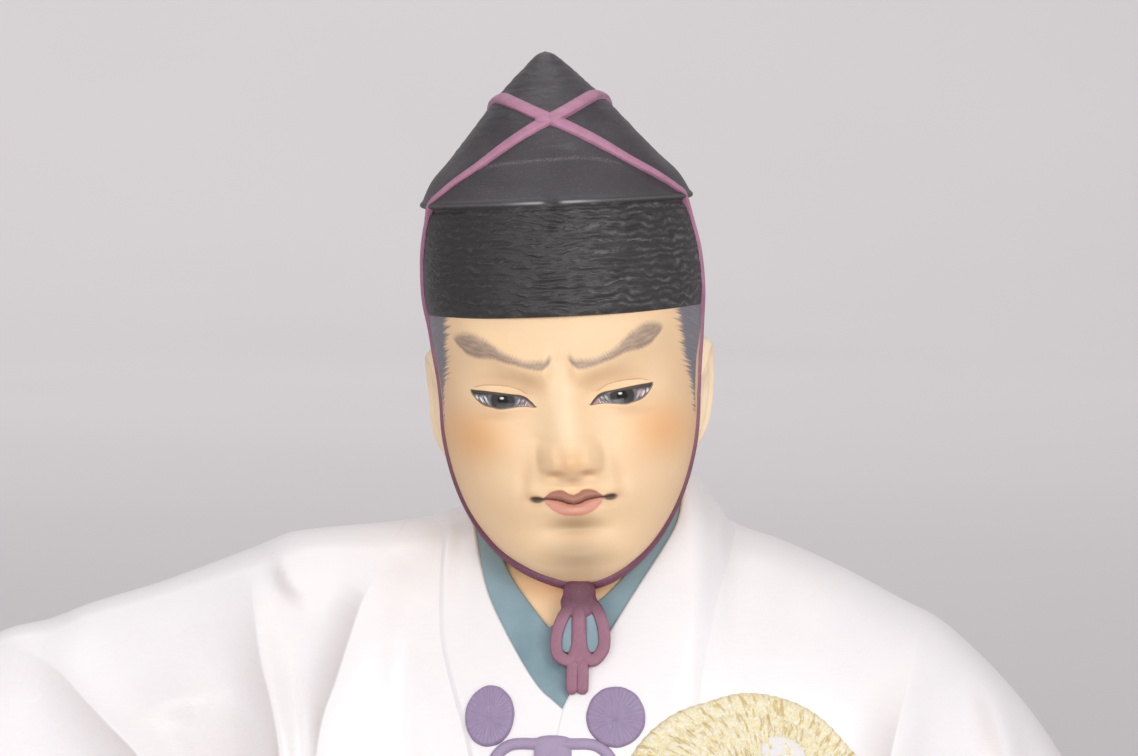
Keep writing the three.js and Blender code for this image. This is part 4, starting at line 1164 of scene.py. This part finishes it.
# The face's colours. The pale skin is a painted highlight, and the grey-brown of the chin painted shade
SKIN, SKIN_WARM, SKIN_HIGHLIGHT = (0.9, 0.65, 0.4), (0.82, 0.5, 0.26), (0.95, 0.74, 0.5)
SKIN_LOW, SKIN_LIT, EAR = (0.68, 0.49, 0.3), (1.0, 0.7, 0.43), (0.98, 0.8, 0.58)
BLUSH, SHADE, CHIN_SHADE = (0.88, 0.42, 0.15), (0.55, 0.29, 0.15), (0.43, 0.3, 0.18)
BROW, HAIR, HAIR_LIGHT = (0.2, 0.15, 0.145), (0.15, 0.143, 0.165), (0.25, 0.24, 0.27)
LIP_UPPER, LIP_LOWER, LIP_SHINE = (0.36, 0.14, 0.105), (0.66, 0.26, 0.2), (0.9, 0.5, 0.4)
LIP_LINE, LIP_CORNER = (0.0802, 0.0176, 0.0103), (0.0545, 0.0343, 0.0252)
INK, LID_LINE, LID_FOLD = (0.028, 0.018, 0.014), (0.09, 0.055, 0.045), (0.2623, 0.107, 0.0612)
EYE_WHITE, EYE_GREY, EYE_CORNER = (0.86, 0.83, 0.85), (0.12, 0.11, 0.125), (0.6, 0.3, 0.26)

# Soft ovals of colour: distance from the midline, z, both radii, share and colour. The first, a painted
# highlight down the nose and the blush, lie under the darker lower face, the others over it: the nose, a
# painted highlight under it, painted shade in the hollows round eyes, nose and mouth, and painted shade
# below the lower lip and on the chin
FIRST_TINTS = [(0, 58.5, 2.4, 8, 0.5, SKIN_HIGHLIGHT), (10.7, 56.6, 6, 5.2, 0.62, BLUSH)]
TINTS = [
    (0, 53.5, 3.2, 2.4, 0.9, SKIN_WARM), (0, 51.2, 2.4, 1, 0.4, SKIN_HIGHLIGHT),
    (3.4, 62.4, 2.2, 2.2, 0.26, SHADE), (7.4, 59, 3.8, 0.9, 0.26, SHADE), (6.5, 63.4, 5, 1.3, 0.16, SHADE),
    (3.8, 53.9, 0.7, 1.7, 0.16, SHADE), (1.8, 52.5, 1.5, 0.7, 0.4, SHADE), (3, 52.7, 1.3, 0.6, 0.2, SHADE),
    (4.9, 49.5, 1.6, 1.3, 0.35, SHADE), (0, 51.3, 0.6, 1, 0.12, SHADE), (5.2, 51.6, 1.1, 2.8, 0.14, SHADE),
    (6.4, 48.6, 3.6, 3.6, 0.1, SHADE),
    (0, 46.4, 4.8, 1.6, 0.85, CHIN_SHADE), (0, 42.9, 6.4, 2.9, 0.85, CHIN_SHADE),
]


def paint_lips(paint, z, side, on_front, blob):
    line = side.curve(MOUTH_LINE)
    span = side.step(4.1, 3.5) * on_front
    paint.coat(z.inside(line, side.curve([*LIP_TOP, (4.2, 49.5)]), 0.1) * span * 0.9, LIP_UPPER)
    paint.coat(z.inside(side.curve([*LIP_LOW, (4.2, 49.6)]), line, 0.12) * span * 0.85, LIP_LOWER)
    paint.coat(blob(0, 48.2, 1.8, 0.45) * 0.35, LIP_SHINE)
    paint.coat(z.near(line, 0.1, 0.1) * side.step(5.1, 4.3) * on_front * 0.9, LIP_LINE)
    paint.coat(blob(4.15, 49.5, 1.1, 0.52, 0.45) * 0.85, LIP_CORNER)


def paint_eyes(paint, x, z, side, on_front):
    """The balls with iris, glint and corner, then the lines of the lids. Gives where the eyes are open"""
    upper_edge, lower_edge = side.curve(UPPER_LID), side.curve(LOWER_LID)
    opening = z.inside(lower_edge, upper_edge, 0.06) * (side.inside(3.15, 10.2, 0.1) * on_front)
    from_iris = paint.vector("LENGTH", paint.combined(side - IRIS_X, 0.0, z - 62.0))
    streaks = paint.noise(place=paint.combined(from_iris * 3.4, 0.0, z * 0.8))
    eye = paint.mix(streaks.step(0.42, 0.58), EYE_GREY, EYE_WHITE)
    eye = paint.mix(side.step(4.6, 3.5), eye, EYE_CORNER)
    eye = paint.mix(paint.blob(x, z, 8.75, 61, 0.75, 0.5), eye, (0.6, 0.36, 0.4))
    # Painted shade on the eyeball under the upper lid
    eye = paint.mix((upper_edge - z).step(0.55, 0.1), eye, (0.09, 0.08, 0.085))
    rings = [(2, 1.8, 0.75, (0.16, 0.15, 0.155)), (IRIS_RADIUS, IRIS_RADIUS, 0.84, (0.045, 0.04, 0.042)),
             (0.7, 0.7, 0.75, (0.008, 0.007, 0.007))]
    for wide, high, inner, colour in rings:
        eye = paint.mix(paint.blob(side, z, IRIS_X, IRIS_Z, wide, high, inner), eye, colour)
    for glint_x in (IRIS_X - 0.2, -IRIS_X - 0.1):
        eye = paint.mix(paint.blob(x, z, glint_x, 61.0, 0.3, 0.17, 0.5), eye, (0.8, 0.8, 0.8))
    paint.coat(opening, eye)
    lash_edge = side.curve([*UPPER_LID, (10.9, 61.95)])
    lash = z.inside(lash_edge - 0.06, lash_edge + side.curve(LASH_WIDE), 0.05)
    paint.coat(lash * side.inside(3.0, 10.35, 0.12) * on_front * 0.94, INK)
    low_line = z.inside(lower_edge - side.curve(LOW_LINE_WIDE), lower_edge + 0.02, 0.05)
    paint.coat(low_line * side.inside(3.1, 10.3, 0.1) * on_front * 0.85, LID_LINE)
    fold = side.curve(LID_CREASE)
    paint.coat(z.inside(fold - 0.06, fold + 0.03, 0.06) * side.inside(4, 9.9, 0.3) * on_front * 0.6, LID_FOLD)
    return opening


def paint_brows(paint, x, z, side, on_front):
    """Brows of many fine strokes, darker in their core"""
    raised = x.step(0, 1) * side.step(5, 11) * 0.45
    top, low = side.curve(BROW_TOP) + raised, side.curve(BROW_LOW) + raised
    share = (z - low) / (top - low)
    strokes = paint.noise(place=paint.combined(side * 0.9 + share * 0.5, share * 9.0, 0.0))
    ragged = (paint.noise(place=paint.combined(side * 5.0 + z * 2.6, 0.0, 0.0)) - 0.5) * 0.9
    brow = (z - low + ragged * 0.5).step(-0.15, 0.4) * (top - z + ragged).step(-0.2, 0.9)
    paint.coat(brow * side.inside(1.0, 11.9, 0.35) * on_front * strokes.spread(0.55, 0.86), BROW)


def skin_paint():
    paint = Paint("face paint")
    x, z, side, turn = head_coordinates(paint)
    on_front = turn.step(100, 85)

    def blob(cx, cz, rx, rz, inner=0.0):
        return paint.blob(side, z, cx, cz, rx, rz, inner) * on_front

    paint.colour = paint.mix(paint.noise(0.22, 3).spread(0.0, 0.3), SKIN, SKIN_WARM)
    paint.coat(turn.step(30, 75) * 0.4, SKIN_WARM)
    for *oval, share, colour in FIRST_TINTS:
        paint.coat(blob(*oval) * share, colour)
    paint.coat(z.step(52, 46) * 0.25, SKIN_LOW)
    for *oval, share, colour in TINTS:
        paint.coat(blob(*oval) * share, colour)
    # Painted light: the neck under the chin is painted lighter, to lift the chin's shadow
    paint.coat(z.step(40.6, 39.2), SKIN_LIT)
    paint_lips(paint, z, side, on_front, blob)
    opening = paint_eyes(paint, x, z, side, on_front)
    paint_brows(paint, x, z, side, on_front)

    # Hair painted behind a brushed edge, but not round the ears
    strokes = paint.noise(1.0, 3, 0.5, paint.combined(turn * 0.05, (z + turn * 0.06) * 3.6, 0.0))
    rough = strokes - 0.5
    edge = turn - z.curve(HAIR_EDGE) + x.step(0, -1) * z.step(60, 65) * 4.0 + rough * 22.0
    low = z - turn.curve(HAIR_LOW) + rough * 3.0
    hair = edge.step(-3.0, 3.0) * low.step(-0.5, 0.6) * (1.0 - paint.blob(turn, z, 89, 58.2, 17, 10.4, 0.86))
    paint.coat(hair, paint.mix(strokes.spread(0.0, 1.0), HAIR, HAIR_LIGHT))

    height = paint.noise(3.5, 3, 0.6) * 0.5 + hair * strokes.spread(0.0, 0.5)
    shine = paint.mix(opening, (0.5,) * 3, (0.2,) * 3)
    return paint.finish(Roughness=shine, Normal=paint.bump(height, 0.03), **CLAY_DEPTH)


def ear_paint():
    paint = Paint("ear paint")
    grain = paint.noise(3.5, 3, 0.6)
    paint.colour = paint.mix(paint.noise(0.22, 3).spread(0.1, 0.6), EAR, SKIN)
    return paint.finish(Roughness=grain.spread(0.44, 0.56), Normal=paint.bump(grain, 0.03), **CLAY_DEPTH)


# The pieces

def tie_to_part(made):
    """Ties a piece to its part in the frame"""
    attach(made, "root")
    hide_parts("doll_bust")


def dressed(name, parts, material):
    tie_to_part(mesh_object(name, *together(*parts), material))


def opening_prism():
    """The part of the robe that is cut away round the neck"""
    outline = np.array(OPENING, float)
    rows = np.stack([np.insert(outline, 1, depth, axis=1) for depth in (OPENING_FRONT, OPENING_BACK)])
    poles = [np.array([0, depth, OPENING_MIDDLE]) for depth in (OPENING_FRONT, OPENING_BACK)]
    points, faces = shell(rows, *poles)
    mesh = bpy.data.meshes.new("opening")
    mesh.from_pydata((points * UNIT).tolist(), [], faces)
    return linked("opening", mesh)


def cut(made, tool):
    """Cuts the tool's space out of an object's mesh, and removes the tool"""
    modifier = made.modifiers.new("cut", "BOOLEAN")
    modifier.operation = "DIFFERENCE"
    modifier.solver = "EXACT"
    modifier.object = tool
    shaped = made.evaluated_get(bpy.context.evaluated_depsgraph_get())
    made.modifiers.clear()
    made.data = bpy.data.meshes.new_from_object(shaped)
    bpy.data.objects.remove(tool)


# How far to both sides a fold's fall is measured, and the darkest share of the painted shade
SHADE_STEP_X, SHADE_STEP_Z, SHADE_MOST = 0.22, 0.12, 0.85


def shade_folds(mesh):
    """Marks where the robe's front falls off to the left of a fold, for the painted shade on that flank"""
    places = np.zeros(3 * len(mesh.vertices))
    mesh.vertices.foreach_get("co", places)
    x, y, z = (places / UNIT).reshape(-1, 3).T
    right = fold_relief(FRONT_FOLDS, x + SHADE_STEP_X, z + SHADE_STEP_Z)
    left = fold_relief(FRONT_FOLDS, x - SHADE_STEP_X, z - SHADE_STEP_Z)
    shade = SHADE_MOST * smoothstep((right - left) / (2 * math.hypot(SHADE_STEP_X, SHADE_STEP_Z)), 0.1, 1)
    # Painted shade, broad and soft, in the sleeve's hollow
    sleeve_hollow_shade = 0.45 * bump(x + 40, z - 19.5, 9, 7.5)
    shade = np.maximum(shade, sleeve_hollow_shade) * (y < robe_ridge(x))
    mesh.attributes.new("fold_shade", "FLOAT", "POINT").data.foreach_set("value", shade)


def robe():
    paint = robe_paint()
    dome = mesh_object("robe", *robe_dome(), paint)
    cut(dome, opening_prism())
    dome.data.set_sharp_from_angle(angle=SHARP_ANGLE)
    shade_folds(dome.data)
    tie_to_part(dome)
    proud = curve_mm((0, 0.5), (0.26, 0.5), (0.6, 0.45), (0.75, 0.65), (1, 0.7))
    soft = curve((0, 1.2), (0.24, 1.4), (0.36, 3.6), (1, 3.6))
    dressed("robe_band", [band(ROBE_BAND, 420, proud, seat=1.2, soft=soft)], paint)


def inner_collar():
    proud = curve_mm((0, -0.1), (0.8, -0.12), (0.93, -0.15), (1, 0.1))
    soft = curve((0, 0.5), (1, 0.5))
    behind_knot = [strap(gap, 2.2 * MM, 0.12 * MM) for gap in KNOT_GAPS]
    collar = band(COLLAR_BAND, 300, proud, seat=2.2, soft=soft)
    dressed("inner_collar", [collar, *behind_knot], collar_paint())


def rosette(name, x, squeeze, tilt):
    made = disc(x, ROSETTE_Z, ROSETTE_RADIUS, squeeze, tilt, rosette_profile, rows=26, columns=272, edge=0.12)
    dressed(f"rosette_{name}", [made], rosette_paint(f"rosette {name}", x, ROSETTE_Z))


def roundel():
    made = disc(ROUNDEL_X, ROUNDEL_Z, ROUNDEL_RADIUS, ROUNDEL_SQUEEZE, 0, roundel_profile,
                rows=90, columns=696, edge=0.03, scallops=ROUNDEL_FEATHERS)
    dressed("roundel", [made], roundel_paint())


robe()
inner_collar()
dressed("head", [head_shell(), neck_shell()], skin_paint())
dressed("ears", [ear_shell(-1), ear_shell(1)], ear_paint())
dressed("court_hat", [hat_shell()], hat_paint())
crossing = lump(lean(np.array([-0.2, -13.2, 92.2])), np.array([1.15, 0.72, 0.65]))
# Painted shade: the cord darkens down the cheeks towards the chin
strand_paint = cord_paint("cord violet", (0.17, 0.055, 0.095), (0.5, 0.235, 0.345), 42, 88)
dressed("hat_cord", [strand(-1), strand(1), crossing], strand_paint)
# Painted shade: the knot darkens towards its top, under the chin
dressed("chin_knot", knot(), cord_paint("knot violet", (0.31, 0.135, 0.195), (0.1, 0.018, 0.04), 35.2, 38))
dressed("robe_bow", bow(), cord_paint("robe bow violet", (0.33, 0.255, 0.385), (0.37, 0.285, 0.425), 8, 22))
rosette("left", -9.6, 0.82, math.radians(12))
rosette("right", 4.6, 1, 0)
roundel()


# Floor, light and camera

def backdrop():
    """A pale floor that turns up into a wall behind"""
    turn = np.linspace(0, math.pi / 2, 24)
    y = np.concatenate([[-3.5, 1.0], 1.8 + 1.4 * np.sin(turn), [3.2]])
    z = np.concatenate([[0, 0], 1.4 - 1.4 * np.cos(turn), [5]])
    x = np.linspace(-5, 5, 9)
    points = [(float(a), float(b), float(c)) for b, c in zip(y, z) for a in x]
    faces = []
    for row in range(len(y) - 1):
        for column in range(len(x) - 1):
            low = row * len(x) + column
            faces.append((low, low + 1, low + 1 + len(x), low + len(x)))
    mesh = bpy.data.meshes.new("backdrop")
    mesh.from_pydata(points, [], faces)
    mesh.shade_smooth()
    paint = Paint("backdrop paper")
    paint.colour = paint.mix(paint.noise(0.004).spread(0.0, 1.0), (0.61, 0.585, 0.59), (0.63, 0.6, 0.605))
    mesh.materials.append(paint.finish(Roughness=0.9))
    made = linked("backdrop", mesh)


# Each softbox: name, place, what it points at, size and watts
BUST_MIDDLE, WALL_MIDDLE = (0, 0, 0.08), (0, 3.2, 0.8)
SOFTBOXES = [
    ("key", (0.5, -1.1, 0.5), BUST_MIDDLE, 0.6, 6.25),
    ("fill", (-0.75, -1.1, 0.35), BUST_MIDDLE, 0.9, 4.65),
    ("low", (0.0, -1.2, 0.22), BUST_MIDDLE, 0.4, 2),
    ("top", (-0.1, 0.0, 1.2), BUST_MIDDLE, 0.9, 2.4),
    ("side right", (1.3, -0.35, 0.35), BUST_MIDDLE, 0.8, 1.4),
    ("wall", (-0.3, 1.2, 2.2), WALL_MIDDLE, 1.8, 42),
]


def softbox(name, place, aim, size, watts):
    light = bpy.data.lights.new(name, "AREA")
    light.shape = "SQUARE"
    light.size = size
    light.energy = watts
    made = linked(name, light)
    made.location = place
    made.rotation_euler = (Vector(aim) - Vector(place)).to_track_quat("-Z", "Y").to_euler()


backdrop()
for settings in SOFTBOXES:
    softbox(*settings)

world = bpy.data.worlds.new("studio")
world.use_nodes = True
world.node_tree.nodes["Background"].inputs["Color"].default_value = (0.97, 0.96, 1, 1)
world.node_tree.nodes["Background"].inputs["Strength"].default_value = 0.4
bpy.context.scene.world = world

CAMERA_TARGET, CAMERA_DISTANCE, CAMERA_ELEVATION = (-0.0009, -0.015, 0.082), 0.75, math.radians(3)
FRAME_WIDTH, SENSOR_WIDTH = 0.1707, 36
lens = bpy.data.cameras.new("camera")
lens.sensor_width = SENSOR_WIDTH
lens.lens = SENSOR_WIDTH * CAMERA_DISTANCE / FRAME_WIDTH
camera = linked("camera", lens)
camera.location = (
    CAMERA_TARGET[0],
    CAMERA_TARGET[1] - CAMERA_DISTANCE * math.cos(CAMERA_ELEVATION),
    CAMERA_TARGET[2] + CAMERA_DISTANCE * math.sin(CAMERA_ELEVATION),
)
camera.rotation_euler = (math.pi / 2 - CAMERA_ELEVATION, 0, 0)
bpy.context.scene.camera = camera
bpy.context.scene.view_settings.view_transform = "Standard"
